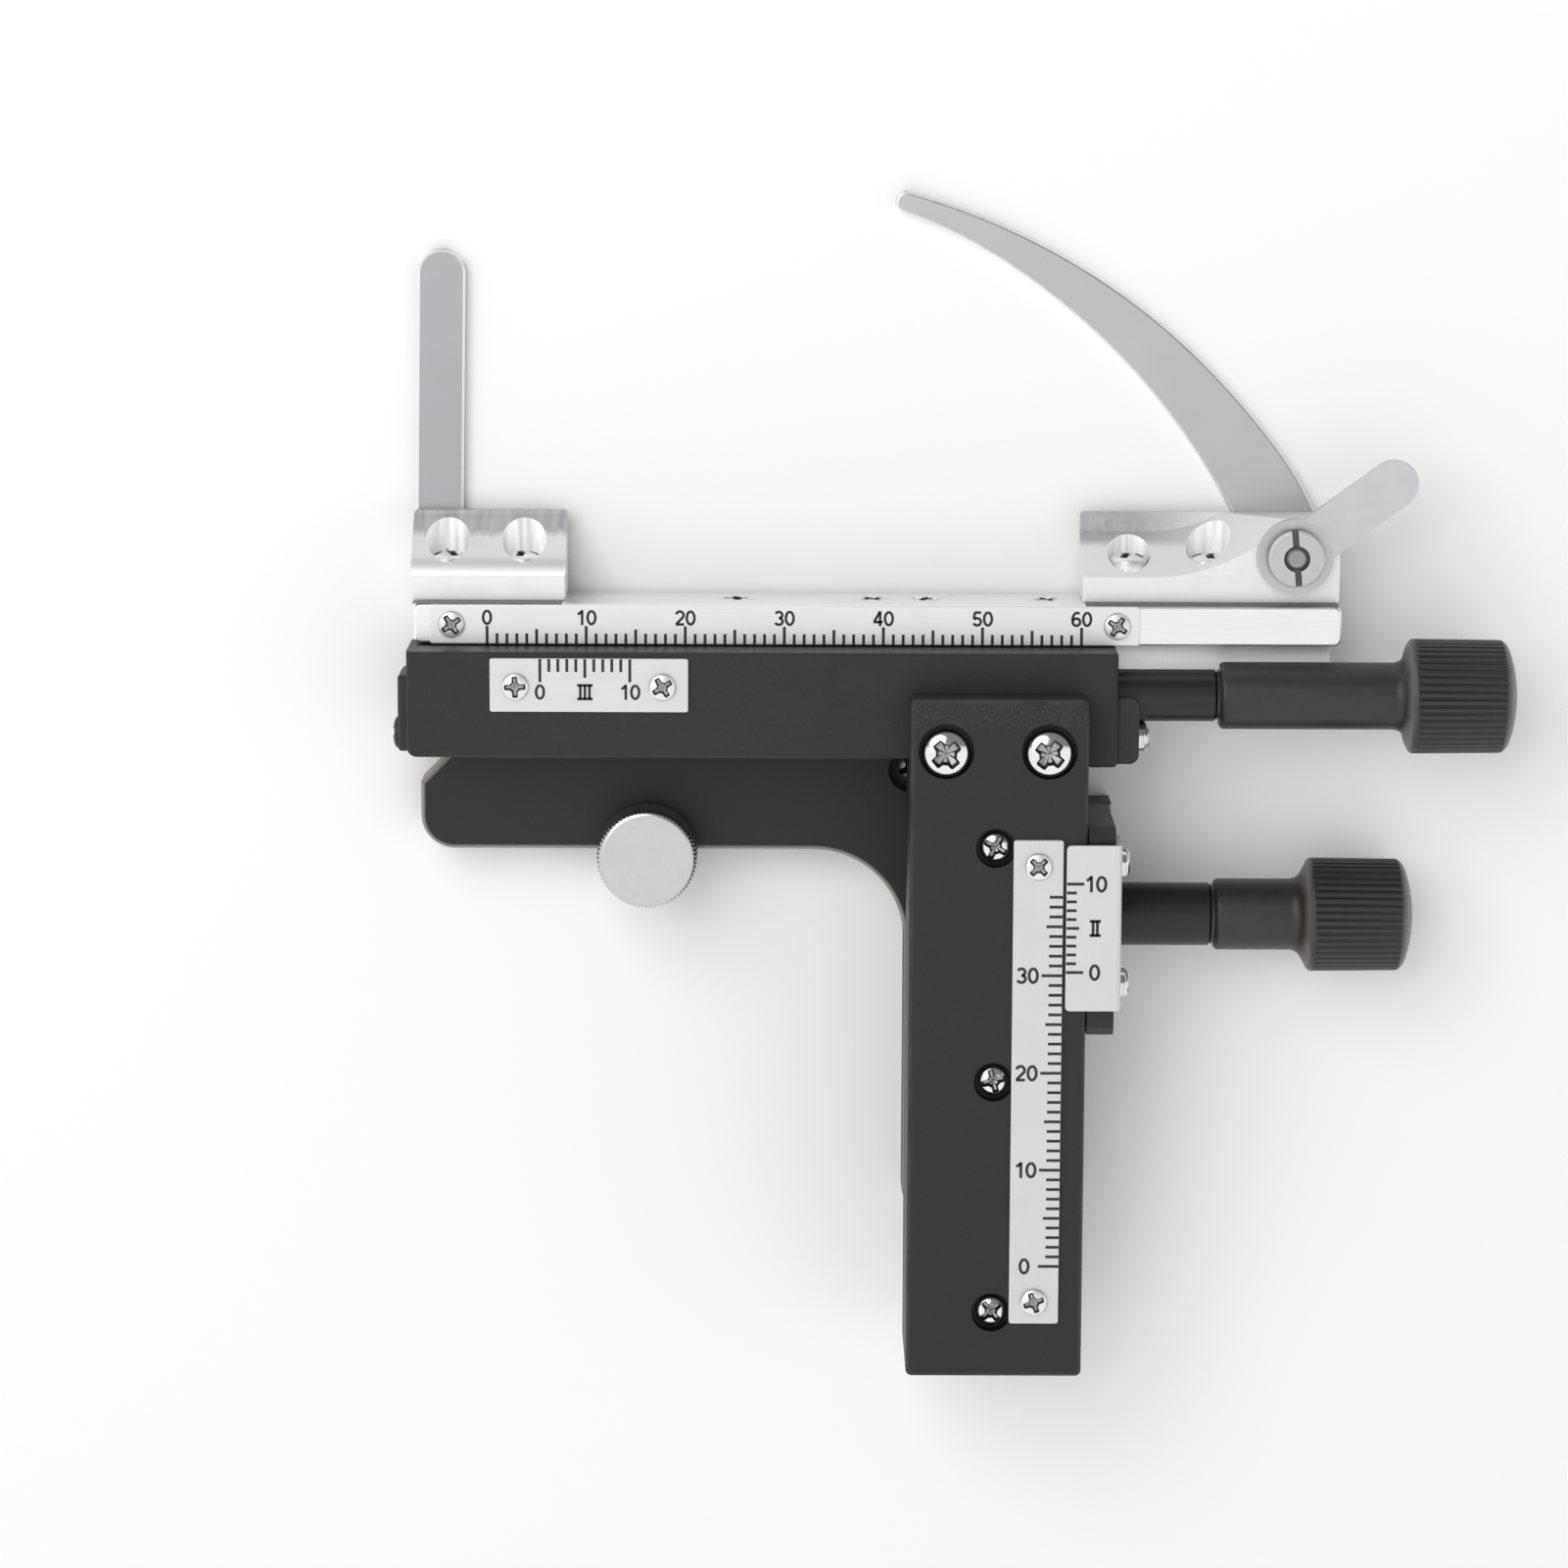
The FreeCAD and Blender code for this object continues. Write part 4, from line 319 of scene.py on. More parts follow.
@dataclass(frozen=True)
class EnamelledCasting(Finish):
    """Die casting in baked matt black enamel, sprayed, with painted shade, near black, in its counterbores.

    The spray dries to fine round grains with a soft sheen.  Patches along the rounded edges are painted paler
    and warmer, partly as wear and partly as a painted highlight.  It dries with pale, coarser grains beyond one
    line across the casting.
    """
    roughness: float = 0.47
    specular: float = 0.36
    patterns: tuple[Pattern, ...] = (Pattern(0.24, 0.80, 1.20), Pattern(3.5, 0.82, 1.20, detail=3.0))
    relief_mm: float = 0.009
    gloss_spread: float = 0.05
    # paler, warmer tone in patches on rounded edges: partly wear, partly a painted highlight
    wear_and_highlight_shade: str = "#4a4644"
    wear_and_highlight_share: float = 0.20
    pale_patch_from: float = 0.35
    pale_patch_over: float = 0.27
    speck_shade: str = "#6a6866"
    speck_share: float = 0.13
    speck_mm: float = 0.36
    speck_rim: float = 0.55
    speck_core: float = 0.15
    coarse_from_mm: float = BEYOND_MM
    coarse_over_mm: float = 0.8
    sinks_mm: tuple[tuple[Point, float], ...] = ()
    # near black painted as shade in the counterbores
    sink_shadow_shade: str = "#0a0a0a"

    def dress(self, graph: Graph) -> None:
        """Add the pale edges (wear and painted highlight), the coarse grains and painted shade in the
        counterbores.

        Args:
            graph: The material's nodes.
        """
        super().dress(graph)
        broken = graph.add("MapRange", {
            "From Min": self.pale_patch_from, "From Max": self.pale_patch_from + self.pale_patch_over,
            "To Max": self.wear_and_highlight_share, "Value": self.patterns[1].noise(graph)})
        # pale patches on rounded edges, partly wear and partly a painted highlight
        pale_edges = graph.add("Math", {"operation": "MULTIPLY", 0: self.edge_mask(graph), 1: broken})
        graph.paint(pale_edges, self.wear_and_highlight_shade)
        start, end = self.coarse_from_mm * MM, (self.coarse_from_mm + self.coarse_over_mm) * MM
        coarse = graph.add("MapRange", {"From Min": start, "From Max": end, "To Max": self.speck_share,
                                        "Value": graph.along(Y)})
        cells = graph.add("TexVoronoi", {"Scale": 1 / (self.speck_mm * MM), "Vector": graph.place})
        dot = graph.add("MapRange", {"From Min": self.speck_rim, "From Max": self.speck_core, "Value": cells})
        graph.paint(graph.add("Math", {"operation": "MULTIPLY", 0: coarse, 1: dot}), self.speck_shade)
        # painted shade in each counterbore
        for centre_mm, radius_mm in self.sinks_mm:
            graph.paint(graph.within(Z, centre_mm, radius_mm), self.sink_shadow_shade)


@dataclass(frozen=True)
class HolderSteel(Finish):
    """Chromed steel bar, bright and ground, painted darker and streaked, and made rougher, in a band on its far
    side.

    The band starts at a ragged line across the bar and fades out along it.  The counterbores for the
    bar's screws are painted white with grey stripes down their walls, as reflections.
    """
    roughness: float = 0.36
    metallic: float = 0.60
    patterns: tuple[Pattern, ...] = (Pattern(0.20, 0.94, 1.05, 2.0, X, 4.0), Pattern(2.6, 0.95, 1.05))
    relief_mm: float = 0.0012
    # painted shade on the sloped far face and the rounded edges, a tone under the bar's own
    painted_edge_light: str = "#e7e7e8"
    # the far band is painted this darker, streaked tone
    far_band_shade: str = "#b2b2b4"
    matt_roughness: float = 0.46
    matt_from_mm: float = 0.0
    matt_blend_mm: float = 0.35
    ragged_mm: float = 1.4
    streaks: Pattern = Pattern(0.75, 0.50, 1.50, detail=3.0, across=X, length_mm=9.0)
    fade_mm: tuple[float, float] = (BEYOND_MM, BEYOND_MM + 1)
    bores_mm: tuple[Point, ...] = ()
    bore_radius_mm: float = 2.25
    # counterbore walls painted white, striped grey, as reflections
    bore_reflection_shade: str = "#ffffff"
    plain_metallic: float = 0.1
    stripes: Pattern = Pattern(0.62, 0.35, 1.65, detail=1.0, across=X, length_mm=14.0)

    def dress(self, graph: Graph) -> None:
        """Add the darker far band and the painted reflections in the counterbores.

        Args:
            graph: The material's nodes.
        """
        super().dress(graph)
        streaks = self.streaks.noise(graph)
        shift = graph.add("Math", {"operation": "MULTIPLY_ADD", 0: streaks, 1: self.ragged_mm * MM,
                                   2: graph.along(Y)})
        start, blend = (self.matt_from_mm + self.ragged_mm / 2) * MM, self.matt_blend_mm * MM
        band = graph.add("MapRange", {"From Min": start - blend, "From Max": start + blend, "Value": shift})
        fade = graph.add("MapRange", {"From Min": self.fade_mm[1] * MM, "From Max": self.fade_mm[0] * MM,
                                      "Value": graph.along(X)})
        plain = graph.add("Math", {"operation": "MULTIPLY", 0: band, 1: fade})
        graph.paint(plain, self.far_band_shade, self.streaks.level(graph, streaks))
        graph.vary("Roughness", plain, self.roughness, self.matt_roughness)
        # painted reflections: white walls with grey stripes in each counterbore
        striped = self.stripes.level(graph)
        for centre_mm in self.bores_mm:
            drilled = graph.within(Y, centre_mm, self.bore_radius_mm)
            graph.paint(drilled, self.bore_reflection_shade, striped)
            plain = graph.add("Math", {"operation": "MAXIMUM", 0: plain, 1: drilled})
        graph.vary("Metallic", plain, self.metallic, self.plain_metallic)


@dataclass(frozen=True)
class TurnedMetal(Finish):
    """Metal turned on a lathe: fine rings round its own axis, bright where the tool burnished it."""
    metallic: float = 1.0
    patterns: tuple[Pattern, ...] = (Pattern(0.11, 0.93, 1.05), Pattern(2.0, 0.95, 1.05))
    relief_mm: float = 0.001
    spin: Axis = Z
    centre_mm: Point = (0.0, 0.0, 0.0)
    low_z_mm: float = -BEYOND_MM
    # painted shade for what lies below low_z_mm, in a slot
    slot_shadow_shade: str = "#6a6a6b"
    plain_from_mm: float = BEYOND_MM
    plain_shade: str = "#c9c9cb"

    def noises(self, graph: Graph) -> list[Socket]:
        """Noise on the distance from the axis for the rings, then the patterns' own.

        Args:
            graph: The material's nodes.

        Returns:
            One noise for each pattern.
        """
        rings, *others = self.patterns
        away = graph.from_axis(self.spin, self.centre_mm)
        lathe = graph.add("TexNoise", {"noise_dimensions": "1D", "Detail": rings.detail,
                                       "Scale": 1 / (rings.size_mm * MM), "W": away})
        return [lathe] + [pattern.noise(graph) for pattern in others]

    def dress(self, graph: Graph) -> None:
        """Paint shade on what lies below one height, in a slot, and leave the outer part plain.

        Args:
            graph: The material's nodes.
        """
        super().dress(graph)
        low = graph.add("Math", {"operation": "LESS_THAN", 1: self.low_z_mm * MM, 0: graph.along(Z)})
        graph.paint(low, self.slot_shadow_shade)
        away = graph.from_axis(self.spin, self.centre_mm)
        outer = graph.add("Math", {"operation": "GREATER_THAN", 0: away, 1: self.plain_from_mm * MM})
        graph.paint(outer, self.plain_shade, self.patterns[-1].level(graph))


@dataclass(frozen=True)
class RecessedHead(TurnedMetal):
    """Nickel-plated screw, its cross recess painted with shade: grey and duller on its floor, dark on its
    walls.

    The mesh marks both with the attributes "floor" and "wall"; "wall" also lays a painted shadow ring at the
    rim.
    """
    floor_shade: str = "#b4b4b4"
    floor_roughness: float = 0.38
    recess_shadow_shade: str = "#303030"
    mottle: Pattern = Pattern(0.40, 0.45, 1.45)

    def dress(self, graph: Graph) -> None:
        """Paint shade in the recess and at the rim by the mesh's attributes.

        Args:
            graph: The material's nodes.
        """
        super().dress(graph)
        floor, wall = map(graph.mark, ("floor", "wall"))
        graph.paint(floor, self.floor_shade, self.mottle.level(graph))
        graph.paint(wall, self.recess_shadow_shade)
        graph.vary("Roughness", floor, self.roughness, self.floor_roughness)


@dataclass(frozen=True)
class MouldedResin(Finish):
    """Black glass-filled nylon, moulded: dark grey with a soft sheen, and a painted highlight on its sharp
    rims.

    The mesh marks its flutes, painted darker as shade, and its rims with the attributes "groove" and "rim".
    """
    patterns: tuple[Pattern, ...] = (Pattern(0.16, 0.85, 1.15), Pattern(1.3, 0.75, 1.30, detail=4.0))
    relief_mm: float = 0.004
    rim_highlight_shade: str = "#a29f9c"
    groove_shadow_shade: str = "#151515"

    def dress(self, graph: Graph) -> None:
        """Paint shade in the flutes and highlights on the rims by the mesh's attributes.

        Args:
            graph: The material's nodes.
        """
        super().dress(graph)
        groove, rim = map(graph.mark, ("groove", "rim"))
        graph.paint(groove, self.groove_shadow_shade)
        lit_rims = graph.add("Math", {"operation": "MULTIPLY", 0: rim, 1: self.patterns[1].level(graph)})
        graph.paint(lit_rims, self.rim_highlight_shade)


# ---- finishes used
ENAMEL = EnamelledCasting("enamelled_casting", "#2b2b2b")
ENAMEL_BODY = replace(ENAMEL, name="enamelled_crossways_body", wear_and_highlight_share=0.0, specular=0.30)
# the cover block's and the bracket's rounded edges get more of the pale tone, mostly as a painted highlight
ENAMEL_BLOCK = EnamelledCasting("enamelled_cover_block", "#242424", coarse_from_mm=14.6, wear_and_highlight_share=0.45)
ENAMEL_ARM = EnamelledCasting("enamelled_bracket", "#232323", wear_and_highlight_shade="#8c8681", wear_and_highlight_share=1.0,
                              pale_patch_from=0.12)
ENAMEL_HOUSING = EnamelledCasting("enamelled_housing", "#262626", roughness=0.36)

# fine grinding along the rail spreads the light across it, so that it runs over the face in soft bands;
# its rounded edges carry a painted highlight
RAIL_STEEL = Finish("satin_chromed_rail", "#f0f0f1", 0.30, 1.0, gloss_spread=0.07, relief_mm=0.0016,
                    patterns=(Pattern(0.09, 0.92, 1.07, 3.0, X, 9.0), Pattern(6.0, 0.96, 1.04)),
                    painted_edge_light="#f8f8f8")
LEFT_HOLDER = HolderSteel("chromed_left_holder", "#f0f0f1", matt_from_mm=32.5)
RIGHT_HOLDER = HolderSteel("chromed_right_holder", "#f0f0f1", matt_from_mm=31.6, ragged_mm=0.5,
                           far_band_shade="#b0b0b2", fade_mm=(50.0, 60.0),
                           streaks=Pattern(0.7, 0.72, 1.25, detail=4.0, lay=Y, length_mm=1.1))
SHAFT_STEEL = Finish("ground_shaft_steel", "#9d9d9f", 0.25, 1.0, gloss_spread=0.07, relief_mm=0.0016,
                     patterns=(Pattern(0.09, 0.90, 1.08, 3.0, X, 9.0), Pattern(6.0, 0.95, 1.05)))
SPRING_STEEL = Finish("spring_wire", "#8f8f92", 0.28, 1.0, relief_mm=0.0016,
                      patterns=(Pattern(0.09, 0.90, 1.08, 3.0, Z, 9.0),))
# bead-blasted and nickel-plated sheet: an even, fine satin, with a painted highlight on its edges
FINGER_STEEL = Finish("bead_blasted_sheet", "#bebec0", 0.42, 1.0, relief_mm=0.002, painted_edge_light="#f6f6f6",
                      edge_begin=0.97, patterns=(Pattern(0.12, 0.95, 1.05, 1.0), Pattern(9.0, 0.94, 1.06)))
# the fixed finger: the same sheet painted darker, against the lamp light that falls more on it
FINGER_STEEL_DARKER = replace(FINGER_STEEL, name="bead_blasted_sheet_painted_darker", shade="#a9a9ab")
# the lever is blasted like the fingers, and its round head is turned
LEVER_STEEL = TurnedMetal("blasted_lever", "#c4c4c5", 0.38, centre_mm=(65.5, 30.9, 0.0), plain_from_mm=3.8)
# the long scale: the plate finish made more metallic and painted lighter, against the shade that the body
# beside it casts, so that it stays as bright as the rail
PLATE_PAINTED_BRIGHTER = Finish("scale_plate_painted_brighter", "#eaeaea", 0.36, 0.75, relief_mm=0.0008,
                      patterns=(Pattern(0.12, 0.97, 1.03, 2.0, X, 6.0), Pattern(5.0, 0.96, 1.03, 4.0)))
# thin aluminium, satin anodised: nearly white, half matt, with a trace of rolling lines
PLATE_LONG, PLATE_CROSS = [
    Finish(name, shade, 0.42, 0.35, relief_mm=0.0008,
           patterns=(Pattern(0.12, 0.97, 1.03, 2.0, lay, 6.0), Pattern(5.0, 0.95, 1.04, 4.0)))
    for name, shade, lay in (("anodised_plate_longways", "#d8d8d8", Y),
                             ("anodised_plate_crossways", "#dcdcdc", X))]
BRIGHT_NICKEL = RecessedHead("bright_nickel", "#efefef", 0.14, relief_mm=0.0004)
DULL_NICKEL = RecessedHead("dull_nickel", "#ececec", 0.32, metallic=0.45)
# the screw in the bracket's pocket: nickel painted dark for the pocket's shade
SHADED_NICKEL = RecessedHead("nickel_painted_darker", "#767573", 0.30, metallic=0.6, floor_shade="#2a2a2a",
                            recess_shadow_shade="#101010")
BLACK_NICKEL = RecessedHead("blacked_screw", "#2c2c2d", 0.30, metallic=0.3, floor_shade="#1c1c1c",
                            recess_shadow_shade="#0c0c0c")
THUMB_STEEL = TurnedMetal("turned_thumb_screw", "#cdcdcd", 0.27)
NUT_STEEL = TurnedMetal("turned_nut", "#c6c6c7", 0.40, metallic=0.5, centre_mm=(65.5, 30.9, 0.0))
WASHER_STEEL = TurnedMetal("turned_washer", "#a8a8a8", 0.30)
OILED_WASHER = TurnedMetal("oiled_washer", "#484746", 0.30, metallic=0.6, spin=X)
BLACKED = TurnedMetal("blacked_tube", "#232324", 0.33, metallic=0.25, spin=X, centre_mm=(0.0, 16.95, 10.0))
BRASS = TurnedMetal("turned_brass", "#c9a45a", 0.30, centre_mm=(65.5, 30.9, 0.0))
NYLON = MouldedResin("moulded_nylon", "#2a2929", 0.40)
# a dark strip painted as the shadow in the joint above each holder block
JOINT_SHADOW = Finish("painted_joint_shadow", "#4a4947", 0.40, patterns=(Pattern(0.8, 0.7, 1.4, 3.0),))
# baked ink is matt, and paler where it is thin
INK = Finish("baked_ink", "#262626", 0.60, patterns=(Pattern(0.12, 0.7, 1.3),))


# ---- surfaces
ROUNDING_STEPS = 5
WELD_MM, DEGENERATE_MM = 0.0005, 0.0002


def grid_faces(rows: int, columns: int) -> Array:
    """Quads between neighbouring rows and columns of a grid of points, the last column joined to the first.

    Args:
        rows: Number of rows.
        columns: Number of points in a row.

    Returns:
        An array of four point numbers a face; point (r, c) has the number r * columns + c.
    """
    r, c = np.meshgrid(np.arange(rows - 1), np.arange(columns), indexing="ij")
    after = (c + 1) % columns
    quads = (r * columns + c, r * columns + after, (r + 1) * columns + after, (r + 1) * columns + c)
    return np.stack(quads, axis=-1).reshape(-1, 4)


def softened(points: list[tuple[float, float]], radii: list[float]) -> Array:
    """Round the corners of a polyline.

    Each corner is replaced by a quadratic Bezier curve that leaves and joins the two legs at the
    corner's radius from it, or at under half a leg.

    Args:
        points: Corners of the line.
        radii: How far back from each corner the rounding starts; 0 leaves it sharp.

    Returns:
        The points of the rounded line.
    """
    corners = np.asarray(points, float)
    made = [corners[:1]]
    for before, corner, after, radius in zip(corners[:-2], corners[1:-1], corners[2:], radii[1:-1]):
        back, on = before - corner, after - corner
        reach = min(radius, 0.49 * np.linalg.norm(back), 0.49 * np.linalg.norm(on))
        if reach <= 0:
            made.append(corner[None])
            continue
        first = corner + back / np.linalg.norm(back) * reach
        last = corner + on / np.linalg.norm(on) * reach
        t = np.linspace(0, 1, ROUNDING_STEPS)[:, None]
        made.append((1 - t) ** 2 * first + 2 * t * (1 - t) * corner + t ** 2 * last)
    return np.vstack(made + [corners[-1:]])


@dataclass
class Surface:
    """Points and faces that are gathered before they become one piece."""
    points: list[Array] = field(default_factory=list)
    faces: list[Array] = field(default_factory=list)
    marks: dict[str, list[Array]] = field(default_factory=dict)
    count: int = 0

    def add(self, points: Array, faces: Array, **marks: Array) -> None:
        """Add a shell.

        Args:
            points: Its points, in millimetres.
            faces: Its faces, by point number.
            marks: Values for each point, by the name of the attribute.
        """
        flat = points.reshape(-1, 3)
        self.points.append(flat)
        self.faces.append(faces + self.count)
        for key, values in marks.items():
            self.marks.setdefault(key, []).append(values.reshape(-1))
        self.count += len(flat)

    def turn(self, radius: Array, along: Array, angle: Array, axis: Axis = Z,
             at: Point = (0.0, 0.0, 0.0), sign: int = 1, **marks: Array) -> None:
        """Add the shell that a section leaves when it is carried round an axis.

        Args:
            radius: Distances from the axis, for each row or for each row and column.
            along: Places along it, likewise.
            angle: The angle of each column.
            axis: The frame's axis that it runs along.
            at: Where its zero is.
            sign: -1 if it runs against that axis.
            marks: Values by the name of the attribute, for rows or for rows and columns.
        """
        def spread(values: Array) -> Array:
            """Values for rows, spread over the columns."""
            return values if values.ndim == 2 else values[:, None] * np.ones(len(angle))

        ring, place = spread(radius), spread(along)
        local = np.stack([sign * place, sign * ring * np.cos(angle), ring * np.sin(angle)], axis=-1)
        self.add(np.roll(local, axis.value, axis=-1) + np.asarray(at, float), grid_faces(*ring.shape),
                 **{key: spread(values) for key, values in marks.items()})

    def piece(self, name: str, finish: Finish, crease: float = 38.0) -> bpy.types.Object:
        """Make the gathered shells one object, closed at its poles, with its faces pointing outwards.

        Args:
            name: The piece's name.
            finish: Its finish.
            crease: Angle in degrees from which an edge stays sharp.

        Returns:
            The new object, at the origin.
        """
        mesh = bpy.data.meshes.new(name)
        mesh.from_pydata((np.vstack(self.points) * MM).tolist(), [], np.vstack(self.faces).tolist())
        for key, values in self.marks.items():
            mesh.attributes.new(key, "FLOAT", "POINT").data.foreach_set(
                "value", np.concatenate(values).astype(np.float32))
        shape = bmesh.new()
        shape.from_mesh(mesh)
        bmesh.ops.remove_doubles(shape, verts=shape.verts, dist=WELD_MM * MM)
        bmesh.ops.dissolve_degenerate(shape, edges=shape.edges, dist=DEGENERATE_MM * MM)
        bmesh.ops.recalc_face_normals(shape, faces=shape.faces)
        shape.to_mesh(mesh)
        shape.free()
        mesh.shade_smooth()
        mesh.set_sharp_from_angle(angle=math.radians(crease))
        made = bpy.data.objects.new(name, mesh)
        bpy.context.scene.collection.objects.link(made)
        mesh.materials.append(finish.material())
        return made


def deliver(piece: bpy.types.Object, body: str,
            replaces: tuple[str, ...] = ()) -> None:
    """Hand a finished piece over to the frame and report it.

    Args:
        piece: The object.
        body: The body that it rides on.
        replaces: The nodes that it stands for.
    """
    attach(piece, body)
    if replaces:
        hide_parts(*replaces)
    LOG.info("%s on %s, %d faces", piece.name, body, len(piece.data.polygons))


# ---- what the frame says
FASTENER_GAP = 0.8


@dataclass(frozen=True)
class Extent:
    """A node's box in the frame, in millimetres."""
    low: Point
    high: Point

    @classmethod
    def of(cls, node: str) -> "Extent":
        """The box of a node of the frame."""
        low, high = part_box(node)
        return cls(tuple(v / MM for v in low), tuple(v / MM for v in high))

    def middle(self, axis: Axis) -> float:
        """Halfway along an axis."""
        return (self.low[axis.value] + self.high[axis.value]) / 2


def separate_solids(node: bpy.types.Object, facing: Axis) -> list[Extent]:
    """Boxes of the separate fasteners in one node.

    The node's points are split at gaps along one axis across the fasteners, and each run along the other.

    Args:
        node: The frame's object.
        facing: The axis that the fasteners run along.

    Returns:
        One box for each fastener.
    """
    points = np.empty(len(node.data.vertices) * 3, np.float32)
    node.data.vertices.foreach_get("co", points)
    runs = [points.reshape(-1, 3) / MM]
    for column in [axis.value for axis in Axis if axis is not facing]:
        ordered = [run[np.argsort(run[:, column], kind="stable")] for run in runs]
        runs = [part for run in ordered
                for part in np.split(run, np.nonzero(np.diff(run[:, column]) > FASTENER_GAP)[0] + 1)]
    return [Extent(tuple(run.min(0)), tuple(run.max(0))) for run in runs]


# ---- screws
class HeadStyle(Enum):
    """Shape of a screw's head."""
    PAN = "pan"
    COUNTERSUNK = "countersunk"


@dataclass(frozen=True)
class Recess:
    """A cross recess, by shares of the head's radius."""
    reach: float = 0.80
    width: float = 0.215
    core: float = 0.42
    wall: float = 0.095

    def outline(self, angle: Array, inset: float = 0.0) -> Array:
        """Distance from the axis to the recess's edge at each angle, as a share of the head's radius.

        Within 45 degrees of a wing the edge is the nearer of the wing's end and its flank, blended as a
        soft least of the two, and never nearer than the round core.

        Args:
            angle: Angles round the head.
            inset: How far inside the edge the line runs.

        Returns:
            Distances as shares.
        """
        off = np.abs((angle + math.pi / 4) % (math.pi / 2) - math.pi / 4)
        end = (self.reach - inset) / np.cos(off)
        flank = (self.width - inset) / np.maximum(np.sin(off), 1e-3)
        return np.maximum((end ** -9 + flank ** -9) ** (-1 / 9), self.core - inset)


SMALL_RECESS = Recess()
LARGE_RECESS = Recess(reach=0.64, width=0.24, core=0.44, wall=0.07)


@dataclass
class ScrewSet:
    """Identical cross-recessed screws of one node, each rebuilt in its own place."""
    node: str
    body: str
    facing: Axis
    sign: int
    thick: float
    shank: float
    turns: tuple[float, ...]
    style: HeadStyle = HeadStyle.PAN
    recess: Recess = SMALL_RECESS
    finish: Finish = BRIGHT_NICKEL
    slot: str = "bright_screws"
    columns: int = 120
    depth: float = 0.60
    floor_slope: float = 0.3
    wall_bend: float = 0.6
    side: float = 0.45
    crown: tuple[float, float] = (2.2, 0.60)
    # how dark the painted shadow ring at the head's rim is, and where it starts
    rim: float = 0.3
    rim_from: float = 0.88
    chamfer: tuple[float, float] = (0.06, 0.05)
    point: tuple[float, float] = (0.25, 0.3)

    def dome(self, ratio: Array) -> Array:
        """Height of the head's top over its seat, by the distance from the axis over the radius."""
        if self.style is HeadStyle.COUNTERSUNK:
            return np.zeros_like(ratio)
        flat, round_off = self.crown
        return self.thick * (self.side + (1 - self.side) * (1 - np.clip(ratio, 0, 1) ** flat) ** round_off)

    def section(self, radius: float, length: float, angle: Array) -> list[Array]:
        """Rings of one screw about its axis, with its seat at zero.

        Rings on the recess's floor are its foot line scaled down.  Rings on its wall run from the foot
        line up to the edge line, and rings on the head from the edge line to the rim; then follow the
        head's side and the shank.

        Args:
            radius: The head's radius.
            length: From the seat to the shank's tip.
            angle: The angle of each column from a wing of the recess.

        Returns:
            Radius, height, how much is floor and how much is wall, each by row and column; the wall share
            also lays a painted shadow ring at the rim.
        """
        edge = self.recess.outline(angle) * radius
        foot = self.recess.outline(angle, self.recess.wall) * radius
        brim, sunk = self.dome(edge / radius), self.depth * self.thick
        rows = [(foot * s, brim - sunk * (1 - self.floor_slope * s), 1.0, 0.0) for s in (0.0, 0.4, 0.8)]
        sunk *= 1 - self.floor_slope
        rows += [(foot + (edge - foot) * s, brim - sunk * (1 - s) ** self.wall_bend, 1.0 - s, 1.0)
                 for s in (0.0, 0.3, 0.7, 0.93)]
        for s in (0.0, 0.05, 0.2, 0.4, 0.6, 0.78, 0.88, 0.94, 1.0):
            ring = edge + (radius - edge) * s
            # painted contact shadow on the outer rings, carried in the wall mark
            dark = self.rim * max(0.0, (s - self.rim_from) / (1 - self.rim_from))
            rows.append((ring, self.dome(ring / radius), 0.0, dark))
        low = -self.thick if self.style is HeadStyle.COUNTERSUNK else 0.0
        if self.style is HeadStyle.PAN:
            rows += [(radius, self.chamfer[1], 0.0, 0.0), (radius - self.chamfer[0], 0.0, 0.0, 0.0)]
        rows += [(self.shank, low, 0.0, 0.0), (self.shank, self.point[1] - length, 0.0, 0.0),
                 (self.shank - self.point[0], -length, 0.0, 0.0), (0.0, -length, 0.0, 0.0)]
        return [np.array([np.broadcast_to(value, angle.shape) for value in values]) for values in zip(*rows)]

    def build(self, frame: dict) -> None:
        """Rebuild every screw of the node and hand the piece over.
        """
        surface = Surface()
        along = self.facing.value
        across = (along == 0) * 1
        angle = np.linspace(0, FULL_TURN, self.columns, endpoint=False)
        for number, solid in enumerate(separate_solids(frame["nodes"][self.node], self.facing)):
            radius = (solid.high[across] - solid.low[across]) / 2
            top, tip = (solid.high, solid.low) if self.sign > 0 else (solid.low, solid.high)
            raised = self.thick if self.style is HeadStyle.PAN else 0.0
            at = [solid.middle(axis) for axis in Axis]
            at[along] = top[along] - self.sign * raised
            wing = math.radians(self.turns[number % len(self.turns)])
            ring, height, floor, wall = self.section(radius, abs(at[along] - tip[along]), angle - wing)
            surface.turn(ring, height, angle, self.facing, at, self.sign, floor=floor, wall=wall)
        deliver(surface.piece(self.node + "_finished", self.finish), self.body, (self.node,))


